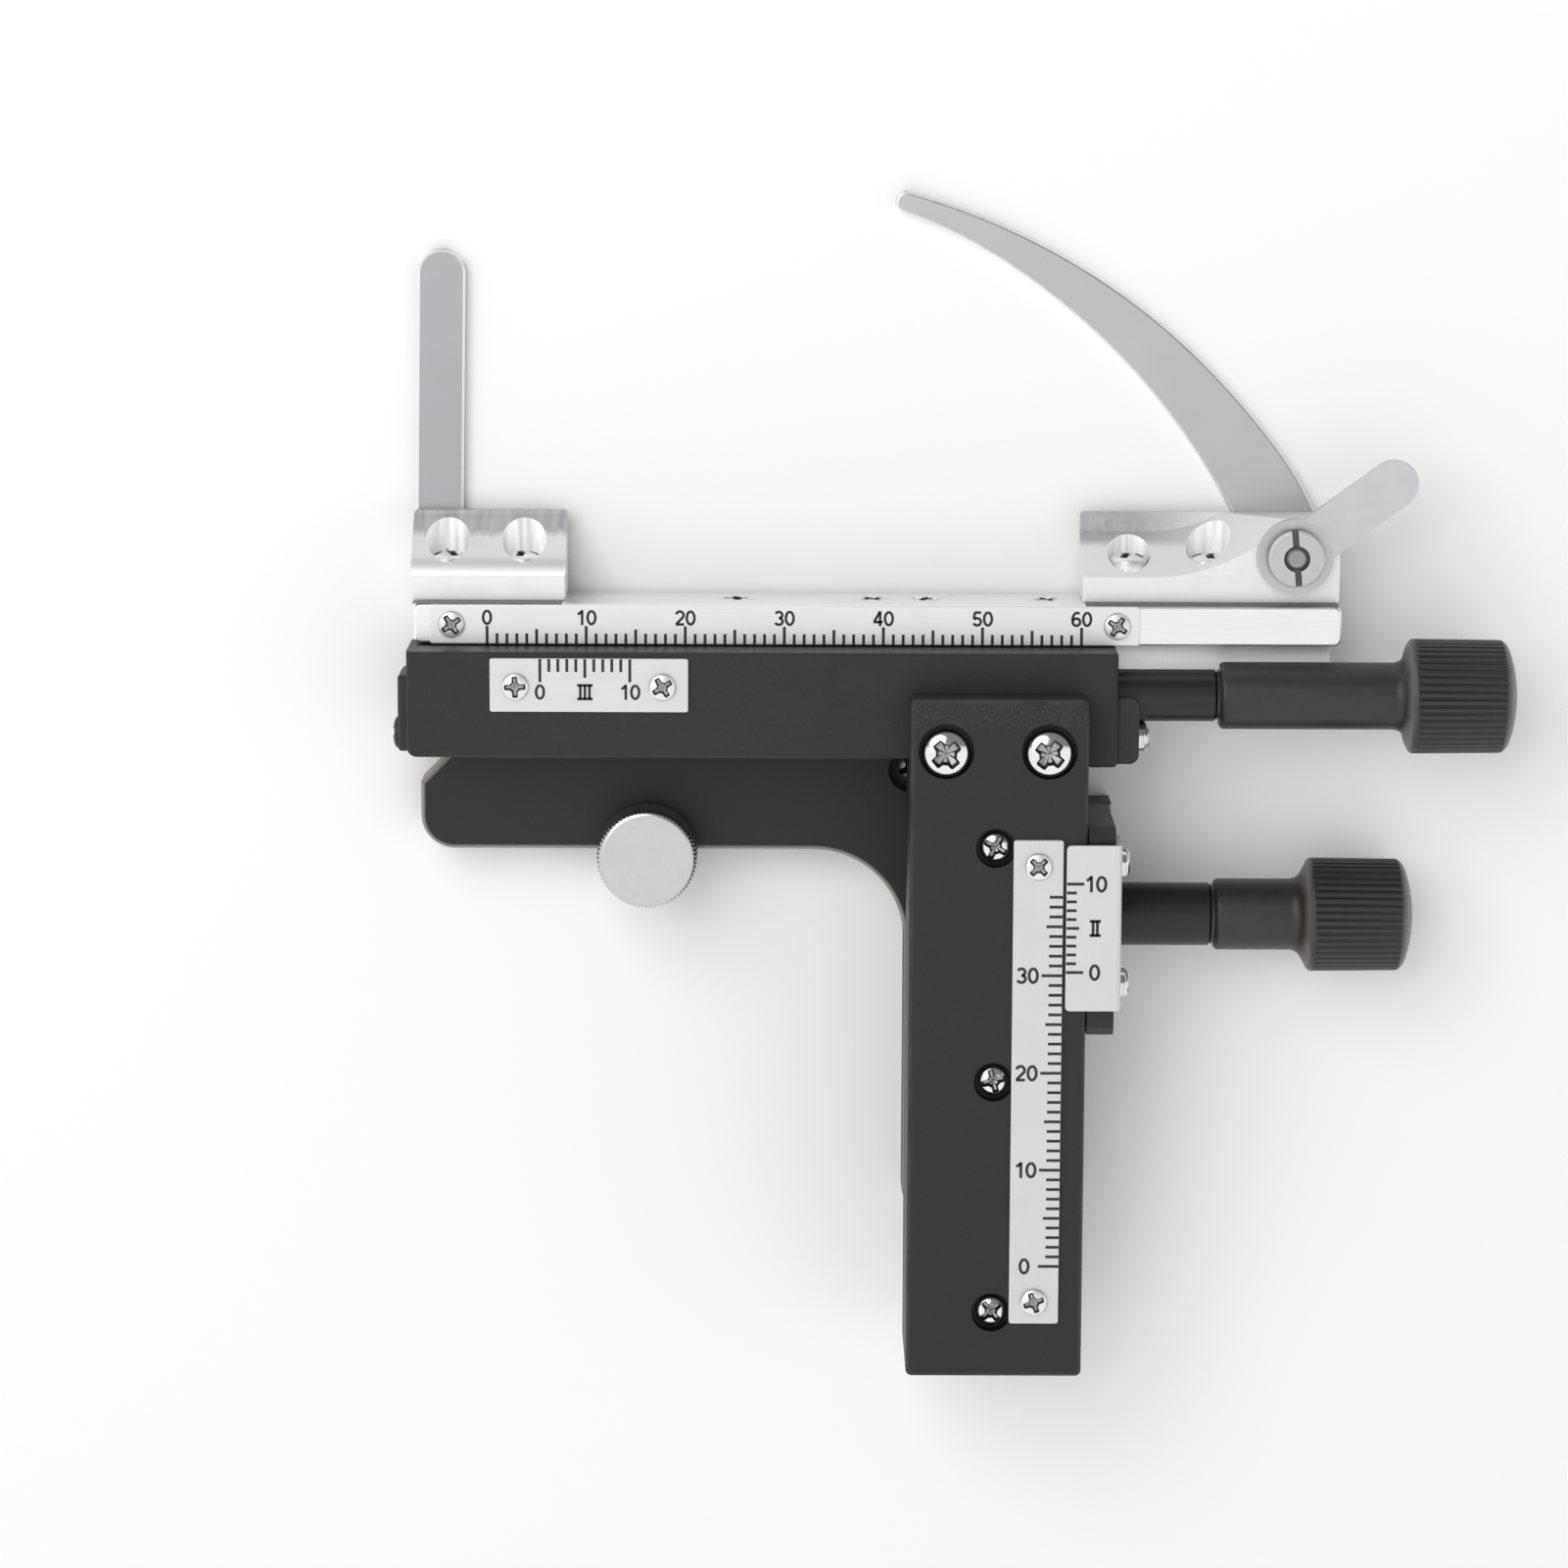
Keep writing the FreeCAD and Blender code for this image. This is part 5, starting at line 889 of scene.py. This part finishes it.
# ---- drive knobs
@dataclass
class DriveKnob:
    """Sleeve and knurled knob of one drive, moulded in one."""
    node: str
    sleeve: float
    sleeve_end: float
    knob_start: float
    rim: float = 5.8
    grooves: int = 47
    groove_depth: float = 0.20
    groove_half: float = 0.30
    phases: tuple[float, ...] = (-0.30, -0.17, -0.06, 0.06, 0.17, 0.30, 0.43, 0.57)
    flute_band: float = 0.9
    flute_ends: tuple[float, float] = (0.45, 1.35)
    flute_runs: tuple[float, float] = (0.25, 0.5)
    # strength of the painted highlight on the end rim
    rim_highlight_level: float = 0.28
    rim_zone: tuple[float, float] = (1.6, 0.5)
    rim_inner: tuple[float, float] = (2.6, 1.5)
    # strength of the painted highlight on the flare
    flare_highlight_level: float = 0.35
    flare_zone: tuple[float, float] = (0.1, 0.55)
    flare_over: float = 0.5
    bore: float = 1.5
    bore_end: float = 4.0

    def profile(self, start: float, end: float) -> Array:
        """Half section (place along the axis, radius) from the bore's mouth to the far end's middle.

        Args:
            start: Where the sleeve starts.
            end: Where the knob ends.

        Returns:
            Points of the rounded half section.
        """
        r, s, k = self.rim, self.sleeve, self.knob_start
        corners = [(start, self.bore), (start, s - 0.32), (start + 0.32, s), (self.sleeve_end - 0.25, s),
                   (self.sleeve_end + 0.45, s + 0.35), (k - 0.22, r - 0.85), (k + 0.05, r - 0.28),
                   (k + 0.33, r), (k + 0.55, r), (k + 0.9, r), (end - 1.75, r - 0.08), (end - 1.5, r - 0.1),
                   (end - 0.95, r - 0.55), (end - 0.42, r - 2.0), (end - 0.12, r - 3.6), (end, 0.0)]
        return softened(corners, [0, 0.1, 0.2, 0.4, 0.5, 0.3, 0.15, 0.15, 0, 0, 0, 0.4, 0.5, 0.8, 0.8, 0])

    def build(self, body: str) -> None:
        """Carry the half section round the axis, with a flute cut in at each of the grooves.

        The radius at angle a and place x is the section's radius less the flute's depth times how much
        of the flute there is at x, times a bell of the distance from the flute's middle.  The blind bore
        is a second shell, from the mouth to a bottom short of the end.

        Args:
            body: The body that the knob rides on.
        """
        extent = Extent.of(self.node)
        end = extent.high[0]
        phase = np.tile(self.phases, self.grooves)
        angle = (np.repeat(np.arange(self.grooves), len(self.phases)) + phase) * FULL_TURN / self.grooves
        bell = np.clip(1 - (np.where(phase > 0.5, phase - 1, phase) / self.groove_half) ** 2, 0, 1)
        along, radius = self.profile(extent.low[0], end).T
        first, last = self.knob_start + self.flute_ends[0], end - self.flute_ends[1]
        fluted = np.clip((along - first) / self.flute_runs[0], 0, 1) * (
            np.clip((last - along) / self.flute_runs[1], 0, 1))
        groove = (fluted * (radius > self.rim - self.flute_band))[:, None] * bell
        near_rim = np.clip((along - end + self.rim_zone[0]) / self.rim_zone[1], 0, 1) * (
            np.clip((radius - self.rim_inner[0]) / self.rim_inner[1], 0, 1))
        flare = np.clip(1 - np.abs(along - self.knob_start + self.flare_zone[0]) / self.flare_zone[1], 0, 1) * (
            radius > self.sleeve + self.flare_over)
        at = (0.0, extent.middle(Y), extent.middle(Z))
        surface = Surface()
        # rim carries the painted highlights, groove the painted shade in the flutes
        surface.turn(radius[:, None] - self.groove_depth * groove, along, angle, X, at,
                     rim=self.rim_highlight_level * near_rim + self.flare_highlight_level * flare, groove=groove)
        bottom = end - self.bore_end
        surface.turn(np.array([self.bore, self.bore, 0.0]), np.array([extent.low[0], bottom, bottom]), angle,
                     X, at, rim=np.zeros(3), groove=np.zeros(3))
        deliver(surface.piece(self.node + "_finished", NYLON, crease=50.0), body, (self.node,))


# ---- clamp screw
@dataclass
class ClampScrew:
    """Captive thumb screw: fine straight knurl on its head, a metric thread below the arm."""
    node: str = "clamp_screw"
    head: float = 5.1
    head_low: float = 6.0
    collar: float = 3.0
    collar_low: float = 5.65
    neck: float = 1.55
    teeth: int = 72
    points_per_tooth: int = 6
    tooth_depth: float = 0.13
    thread: float = 2.0
    thread_pitch: float = 0.7
    thread_depth: float = 0.36
    thread_columns: int = 48
    steps_per_pitch: int = 10
    lead_in: float = 0.6
    point: float = 0.45

    def turn_head(self, surface: Surface, top: float) -> None:
        """Add the head, its collar and the relieved neck as one turned shell with a toothed rim.

        Args:
            surface: Where they go.
            top: Height of the head's face.
        """
        h, low = self.head, self.head_low
        corners = [(0.0, 0.0), (self.neck, 0.0), (self.neck, self.collar_low), (self.collar, self.collar_low),
                   (self.collar, low), (h - 0.45, low), (h, low + 0.4), (h, low + 0.8), (h, top - 0.9),
                   (h, top - 0.5), (h - 0.22, top - 0.16), (h - 0.55, top), (h - 1.0, top), (0.0, top)]
        radius, height = softened(corners, [0, 0.05, 0.1, 0.05, 0.05, 0.2, 0.1, 0, 0, 0.1, 0.2, 0.12, 0, 0]).T
        angle = np.linspace(0, FULL_TURN, self.teeth * self.points_per_tooth, endpoint=False)
        wave = 0.5 - 0.5 * np.cos(angle * self.teeth)
        cut = np.clip((radius - h + 0.35) / 0.3, 0, 1)
        surface.turn(radius[:, None] - self.tooth_depth * cut[:, None] * wave ** 1.6, height, angle)

    def turn_thread(self, surface: Surface, bottom: float) -> None:
        """Add the thread: radius less the depth times a triangle wave of height minus pitch per turn.

        Args:
            surface: Where it goes.
            bottom: Height of the thread's lower end.
        """
        angle = np.linspace(0, FULL_TURN, self.thread_columns, endpoint=False)
        height = np.arange(bottom, MM, self.thread_pitch / self.steps_per_pitch)
        phase = (height[:, None] / self.thread_pitch - angle / FULL_TURN) % 1.0
        groove = np.clip(1.15 - np.abs(phase - 0.5) * 2.6, 0, 1)
        lead = np.clip((height - bottom) / self.lead_in, 0, 1)[:, None]
        ring = (self.thread - self.point * (1 - lead)) - self.thread_depth * groove * lead
        surface.turn(np.pad(ring, ((1, 1), (0, 0))), np.pad(height, 1, mode="edge"), angle)

    def build(self) -> None:
        """Make the screw and hand it over."""
        extent = Extent.of(self.node)
        surface = Surface()
        self.turn_head(surface, extent.high[2])
        self.turn_thread(surface, extent.low[2])
        deliver(surface.piece(self.node + "_finished", THUMB_STEEL, crease=60.0), "clamp_screw",
                (self.node,))


# ---- torsion spring
@dataclass
class TorsionSpring:
    """Close coils of round wire, their ends rounded off."""
    node: str = "finger_spring"
    coil: float = 2.75
    wire: float = 0.25
    turns: float = 2.5
    steps_per_turn: int = 48
    sides: int = 14
    end_steps: int = 3
    pitch: float = 0.58
    low: float = 2.4

    def build(self, pivot: tuple[float, float]) -> None:
        """Carry the wire's circle along the helix; each end is rounded off over a few steps.

        Args:
            pivot: Where the stud's axis is.
        """
        steps = int(self.turns * self.steps_per_turn)
        t = np.linspace(0, self.turns, steps) * FULL_TURN
        ends = np.clip(np.minimum(np.arange(steps), np.arange(steps)[::-1]) / self.end_steps, 0, 1)
        wire = (self.wire * np.sqrt(1 - (1 - ends) ** 2))[:, None]
        around = np.linspace(0, FULL_TURN, self.sides, endpoint=False)
        out = self.coil + wire * np.cos(around)
        rise = self.low + self.pitch * t[:, None] / FULL_TURN + wire * np.sin(around)
        surface = Surface()
        surface.add(np.stack([pivot[0] + out * np.cos(t)[:, None], pivot[1] + out * np.sin(t)[:, None], rise],
                             axis=-1), grid_faces(*rise.shape))
        deliver(surface.piece(self.node + "_finished", SPRING_STEEL), "x_slide",
                (self.node,))


# ---- figures
def bow(x: float, y: float, across: float, up: float, start: float, stop: float) -> Array:
    """Points on an ellipse about (x, y), a point every 12 degrees or closer.

    Args:
        x: Middle across.
        y: Middle up.
        across: Half width.
        up: Half height.
        start: Angle in degrees of the first point.
        stop: Angle in degrees of the last one.

    Returns:
        The points.
    """
    turn = np.radians(np.linspace(start, stop, int(abs(stop - start) / 12) + 2))
    return np.stack([x + across * np.cos(turn), y + up * np.sin(turn)], axis=-1)


def bars(*ends: tuple[float, float, float, float]) -> tuple[Array, ...]:
    """Straight strokes, each from (x, y) to (x, y)."""
    return tuple(np.array([end[:2], end[2:]], float) for end in ends)


# centre lines of each figure's strokes in a cell one high, after the cell's width
FIGURES: dict[str, tuple[float, tuple[Array, ...]]] = {
    "0": (0.66, (bow(0.33, 0.50, 0.255, 0.43, 90, 450),)),
    "1": (0.66, (np.array([(0.13, 0.72), (0.28, 0.80), (0.40, 0.95)]), *bars((0.42, 1.0, 0.42, 0.0)))),
    "2": (0.66, (np.vstack([bow(0.33, 0.69, 0.245, 0.24, 168, -38), [(0.10, 0.10)]]),
                 *bars((0.05, 0.07, 0.61, 0.07)))),
    "3": (0.66, (bow(0.32, 0.72, 0.22, 0.21, 158, -90), bow(0.32, 0.29, 0.25, 0.22, 90, -158))),
    "4": (0.66, bars((0.45, 0.96, 0.07, 0.30), (0.02, 0.27, 0.64, 0.27), (0.46, 1.0, 0.46, 0.0))),
    "5": (0.66, (*bars((0.16, 0.93, 0.58, 0.93), (0.17, 0.95, 0.10, 0.50)),
                 bow(0.32, 0.31, 0.25, 0.24, 145, -158))),
    "6": (0.66, (bow(0.33, 0.31, 0.245, 0.24, 90, 450), bow(0.38, 0.48, 0.30, 0.45, 195, 58))),
    "II": (0.68, bars((0.21, 0, 0.21, 1), (0.47, 0, 0.47, 1), (0, 0.94, 0.68, 0.94), (0, 0.06, 0.68, 0.06))),
    "III": (1.04, bars((0.22, 0, 0.22, 1), (0.52, 0, 0.52, 1), (0.82, 0, 0.82, 1), (0, 0.95, 1.04, 0.95),
                       (0, 0.05, 1.04, 0.05))),
}


def add_stroke(surface: Surface, line: Array, half_width: float, low: float, high: float) -> None:
    """Add a flat stroke of even width along a centre line.

    At each point four corners stand across the line: left and right of it, at the top and the bottom.

    Args:
        surface: Where it goes.
        line: The centre line.
        half_width: Half the stroke's width.
        low: Height of its bottom.
        high: Height of its top.
    """
    along = np.gradient(line, axis=0)
    along /= np.linalg.norm(along, axis=1)[:, None]
    left = np.stack([-along[:, 1], along[:, 0]], axis=-1) * half_width
    points = np.empty((len(line), 4, 3))
    points[:, 0, :2] = points[:, 3, :2] = line + left
    points[:, 1, :2] = points[:, 2, :2] = line - left
    points[:, :2, 2], points[:, 2:, 2] = high, low
    last = 4 * (len(line) - 1)
    ends = np.array([(0, 1, 2, 3), (last, last + 1, last + 2, last + 3)])
    surface.add(points, np.vstack([grid_faces(len(line), 4), ends]))


# ---- graduations
@dataclass
class Graduation:
    """Printed lines and numerals on one plate, lying a hair above its face."""
    name: str
    plate: str
    body: str
    run: Axis
    zero: float
    step: float
    count: int
    lengths: tuple[float, float, float]
    numerals: dict[float, tuple[str, ...]]
    numeral_at: float
    edge_high: bool
    numeral_height: float = 1.52
    figure_pitch: float = 0.71
    pen: float = 0.18
    line_width: float = 0.30
    ink: float = 0.012
    sunk: float = 0.01
    inset: float = 0.03
    major: int = 10
    medium: int = 5

    def lines(self, edge: float) -> Iterator[Array]:
        """Each line of the scale, from the plate's edge inwards: long, medium or short by its number.

        Args:
            edge: Where the lines start, across the run.

        Returns:
            The two ends of each line, in the plate's plane, one line after the other.
        """
        long, mid, short = self.lengths
        inwards = -1 if self.edge_high else 1
        for number in range(self.count):
            length = long if number % self.major == 0 else mid if number % self.medium == 0 else short
            along = self.zero + number * self.step
            ends = [(along, edge + inwards * self.inset), (along, edge + inwards * length)]
            yield np.array(ends if self.run is X else [(b, a) for a, b in ends])

    def figures(self) -> Iterator[Array]:
        """The centre line of each numeral's strokes, in the plate's plane, one after the other."""
        for along, figures in self.numerals.items():
            middle = (along, self.numeral_at) if self.run is X else (self.numeral_at, along)
            for number, figure in enumerate(figures):
                width, strokes = FIGURES[figure]
                shift = ((number - (len(figures) - 1) / 2) * self.figure_pitch - width / 2, -0.5)
                yield from (middle + (line + shift) * self.numeral_height for line in strokes)

    def build(self) -> None:
        """Lay the lines and numerals on the plate and hand the piece over."""
        extent = Extent.of(self.plate)
        across = Y if self.run is X else X
        edge = (extent.high if self.edge_high else extent.low)[across.value]
        surface = Surface()
        bottom, top = extent.high[2] - self.sunk, extent.high[2] + self.ink
        for line in self.lines(edge):
            add_stroke(surface, line, self.line_width / 2, bottom, top)
        for line in self.figures():
            add_stroke(surface, line, self.pen * self.numeral_height / 2, bottom, top)
        deliver(surface.piece(self.name, INK, crease=30.0), self.body)


@dataclass
class JointShadows:
    """A painted shadow on the rail's far face: a dark strip in the corner above each holder block."""
    blocks: tuple[str, ...] = ("left_holder_block", "right_holder_block")
    rail: str = "x_rail"
    thick: float = 0.02
    short: float = 0.25
    below_top: float = 0.12

    def build(self) -> None:
        """Lay one upright strip above each block, from the block's top to just below the rail's."""
        rail = Extent.of(self.rail)
        surface = Surface()
        for extent in map(Extent.of, self.blocks):
            ends = extent.low[0] + self.short, extent.high[0] - self.short
            add_stroke(surface, np.array([(end, rail.high[1]) for end in ends]), self.thick,
                       extent.high[2], rail.high[2] - self.below_top)
        deliver(surface.piece("block_joint_shadows", JOINT_SHADOW), "x_slide")


# ---- what is where
NODE_FINISH: dict[str, Finish] = {
    "base_bracket": ENAMEL_ARM, "x_body": ENAMEL_BODY, "pinion_housing": ENAMEL_HOUSING,
    "y_way_block": ENAMEL, "x_left_end_cap": ENAMEL, "x_right_end_plate": ENAMEL,
    "x_bearing_tube": BLACKED, "y_bearing_tube": BLACKED,
    "x_rail": RAIL_STEEL, "x_dovetail_strip": RAIL_STEEL, "left_finger": FINGER_STEEL_DARKER,
    "spring_finger": FINGER_STEEL, "finger_lever": LEVER_STEEL, "x_scale_plate": PLATE_PAINTED_BRIGHTER,
    "x_vernier_plate": PLATE_CROSS, "y_scale_plate": PLATE_LONG, "y_vernier_plate": PLATE_LONG,
    "clamp_washer": WASHER_STEEL, "x_drive_washer": OILED_WASHER, "y_drive_washer": OILED_WASHER,
    "pivot_stud": SHAFT_STEEL, "pivot_bush": BRASS, "x_lead_nut": BRASS, "x_lead_screw": SHAFT_STEEL,
    "y_pinion_shaft": SHAFT_STEEL, "y_dovetail_rack": SHAFT_STEEL, "locating_pins": SHAFT_STEEL,
}

SUNK = HeadStyle.COUNTERSUNK
# plate screws: a darker painted shadow ring at the rim
FLAT = {"finish": DULL_NICKEL, "rim": 0.95}
SCREWS: tuple[ScrewSet, ...] = (
    ScrewSet("bracket_screw", "root", Z, 1, 1.2, 1.25, (20,), finish=SHADED_NICKEL),
    ScrewSet("way_screws", "root", Z, -1, 1.15, 1.2, (10, 55, 80, 33), SUNK),
    ScrewSet("housing_screws", "root", Z, -1, 0.8, 0.95, (15, 60), SUNK),
    ScrewSet("y_vernier_screws", "root", X, 1, 1.1, 0.8, (25, 70)),
    ScrewSet("y_rack_screws", "y_slide", Z, 1, 1.15, 1.0, (40, 15, 62)),
    ScrewSet("y_scale_screws", "y_slide", Z, 1, 0.6, 0.8, (20, 45), **FLAT),
    ScrewSet("x_body_screws", "y_slide", Z, 1, 1.6, 1.25, (40, 52), recess=LARGE_RECESS),
    ScrewSet("x_vernier_screws", "y_slide", Z, 1, 0.6, 0.8, (2, 33), **FLAT),
    ScrewSet("x_left_cap_screw", "y_slide", X, -1, 0.8, 0.8, (12,), finish=BLACK_NICKEL,
                      slot="blacked_steel"),
    ScrewSet("x_right_plate_screw", "y_slide", X, 1, 1.4, 0.9, (50,)),
    ScrewSet("x_scale_screws", "x_slide", Z, 1, 0.6, 0.8, (35, 58), **FLAT),
    ScrewSet("x_strip_screws", "x_slide", Y, 1, 0.9, 0.9, (5, 40, 70, 25), SUNK),
    ScrewSet("left_block_screws", "x_slide", Y, 1, 1.5, 1.25, (30, 75), finish=DULL_NICKEL),
    ScrewSet("right_block_screws", "x_slide", Y, 1, 1.5, 1.25, (65, 10), finish=DULL_NICKEL),
    ScrewSet("left_finger_screws", "x_slide", Z, -1, 0.85, 0.85, (20, 50), SUNK),
)

GRADUATIONS: tuple[Graduation, ...] = (
    Graduation("x_scale_marks", "x_scale_plate", "x_slide", X, -16.1, 1.0, 61, (1.86, 1.54, 1.10),
               {-16.1 + 10 * n: tuple(str(10 * n)) for n in range(7)}, 24.72, False),
    Graduation("x_vernier_marks", "x_vernier_plate", "y_slide", X, -10.55, 0.9, 11, (2.35, 1.93, 1.33),
               {-10.55: ("0",), -6.05: ("III",), -1.55: ("1", "0")}, 17.88, True),
    Graduation("y_scale_marks", "y_scale_plate", "y_slide", Y, -39.9, 1.0, 39, (2.10, 1.66, 1.37),
               {-39.9 + 10 * n: tuple(str(10 * n)) for n in range(4)}, 38.35, True, 1.64),
    Graduation("y_vernier_marks", "y_vernier_plate", "root", Y, -9.5, 0.9, 11, (1.76, 1.30, 1.02),
               {-9.5: ("0",), -5.0: ("II",), -0.5: ("1", "0")}, 45.05, False, 1.64),
)

# counterbores of the cover block, painted near black as shade, a hair wider than they were drilled;
# the large ones are off their screws
SINKS: tuple[tuple[str, float, float], ...] = (("x_body_screws", 0.32, 2.78), ("y_rack_screws", 0.0, 2.01))
# depth below the nut's top that is painted as the slot's shade
NUT_SLOT = 0.30


def fitted_finishes(frame: dict) -> dict[str, Finish]:
    """Finishes whose zones follow other pieces: counterbores round their screws, painted shade in the nut's
    slot.

    Returns:
        The finish of each such node.
    """
    fitted = {}
    for side, finish in (("left", LEFT_HOLDER), ("right", RIGHT_HOLDER)):
        heads = separate_solids(frame["nodes"][side + "_block_screws"], Y)
        bores = tuple((head.middle(X), 0.0, head.middle(Z)) for head in heads)
        fitted[side + "_holder_block"] = replace(finish, bores_mm=bores)
    sinks = tuple(((head.middle(X), head.middle(Y) + shift, 0.0), radius) for node, shift, radius in SINKS
                  for head in separate_solids(frame["nodes"][node], Z))
    fitted["y_block"] = replace(ENAMEL_BLOCK, sinks_mm=sinks)
    fitted["pivot_nut"] = replace(NUT_STEEL, low_z_mm=Extent.of("pivot_nut").high[2] - NUT_SLOT)
    return fitted


# ---- studio
@dataclass
class Studio:
    """Pale floor, a soft sky that is dark high up on the far side, one soft lamp and the camera."""
    floor_shade: str = "#fdfdfc"
    floor_roughness: float = 0.85
    floor_clouds: Pattern = Pattern(120.0, 0.995, 1.005)
    floor_size: float = 3000.0
    floor_low: float = -0.02
    south_level: float = 1.0
    north_high_level: float = 0.22
    north_low_level: float = 1.0
    north_from: tuple[float, float] = (0.10, 0.26)
    high_from: tuple[float, float] = (0.0, 0.38)
    lamp_place: Point = (-260.0, 330.0, 560.0)
    lamp_size: float = 620.0
    lamp_power: float = 2.2
    target: Point = (13.92, 7.70, 10.0)
    camera_distance: float = 517.0
    camera_lean: float = 9.7
    camera_roll: float = 0.2
    lens: float = 116.93
    sensor: float = 36.0
    clip: tuple[float, float] = (0.01, 10.0)

    def sky(self) -> None:
        """World: even towards the user, and on the far side from dark overhead to bright at the horizon."""
        world = bpy.data.worlds.new("studio_sky")
        bpy.context.scene.world = world
        world.use_nodes = True
        graph = Graph(world.node_tree)
        graph.tree.nodes.clear()
        graph.place = graph.add("TexCoord", {}, out="Generated")
        side = graph.add("MapRange", {"interpolation_type": "SMOOTHSTEP", "From Min": self.north_from[0],
                                      "From Max": self.north_from[1], "Value": graph.along(Y)})
        north = graph.add("MapRange", {"interpolation_type": "SMOOTHSTEP", "From Min": self.high_from[0],
                                       "From Max": self.high_from[1], "To Min": self.north_low_level,
                                       "To Max": self.north_high_level, "Value": graph.along(Z)})
        level = graph.add("Mix", {"data_type": "FLOAT", 2: self.south_level, 0: side, 3: north})
        light = graph.add("Background", {"Color": linear("#ffffff"), "Strength": level})
        graph.add("OutputWorld", {"Surface": light})

    def floor(self) -> None:
        """A wide pale sheet at the height of the microscope's stage plate."""
        half, low = self.floor_size / 2, self.floor_low
        surface = Surface()
        square = [(-half, -half, low), (half, -half, low), (half, half, low), (-half, half, low)]
        surface.add(np.array(square), np.array([(0, 1, 2, 3)]))
        paper = Finish("studio_floor", self.floor_shade, self.floor_roughness, patterns=(self.floor_clouds,))
        surface.piece("studio_floor", paper)

    def lamp(self) -> None:
        """One round lamp that draws soft shadows, aimed at the object."""
        data = bpy.data.lights.new("key_lamp", "AREA")
        data.shape, data.size, data.energy = "DISK", self.lamp_size * MM, self.lamp_power
        holder = bpy.data.objects.new("key_lamp", data)
        bpy.context.scene.collection.objects.link(holder)
        place, aim = Vector(self.lamp_place) * MM, Vector(self.target) * MM
        holder.location = place
        holder.rotation_mode = "QUATERNION"
        holder.rotation_quaternion = (aim - place).to_track_quat("-Z", "Y")

    def camera(self) -> None:
        """Camera above the object, leaning a few degrees to its far side and rolled a trace."""
        data = bpy.data.cameras.new("camera")
        data.lens, data.sensor_width = self.lens, self.sensor
        data.clip_start, data.clip_end = self.clip
        holder = bpy.data.objects.new("camera", data)
        bpy.context.scene.collection.objects.link(holder)
        lean, roll = math.radians(self.camera_lean), math.radians(self.camera_roll)
        back = Vector((0.0, math.sin(lean), math.cos(lean)))
        up = Vector((0.0, math.cos(lean), -math.sin(lean)))
        turned_up = up * math.cos(roll) - up.cross(back) * math.sin(roll)
        place = Vector(self.target) * MM + back * self.camera_distance * MM
        holder.matrix_world = Matrix.Translation(place) @ Matrix(
            (turned_up.cross(back), turned_up, back)).transposed().to_4x4()
        bpy.context.scene.camera = holder

    def build(self) -> None:
        """Set up the whole studio."""
        self.sky()
        self.floor()
        self.lamp()
        self.camera()
        bpy.context.scene.view_settings.view_transform = "Standard"


# ---- all together
def corners(box: tuple[Vector, Vector]) -> list[list[float]]:
    """Two corners as plain lists of numbers."""
    return [list(box[0]), list(box[1])]


def main() -> None:
    """Load the frame, finish its nodes, build the finer pieces and set up the studio."""
    logging.basicConfig(level=logging.INFO, format="%(message)s")
    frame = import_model()
    for name, finish in (NODE_FINISH | fitted_finishes(frame)).items():
        mesh = frame["nodes"][name].data
        mesh.materials.clear()
        mesh.materials.append(finish.material())
        LOG.info("%s in %s", name, finish.name)
    for screws in SCREWS:
        screws.build(frame)
    DriveKnob("x_knob", 3.4, 76.0, 77.0).build("x_knob")
    DriveKnob("y_knob", 3.65, 66.2, 67.4).build("y_knob")
    ClampScrew().build()
    pivot = Extent.of("pivot_nut")
    TorsionSpring().build((pivot.middle(X), pivot.middle(Y)))
    JointShadows().build()
    for graduation in GRADUATIONS:
        graduation.build()
    Studio().build()


if __name__ == "__main__":
    main()
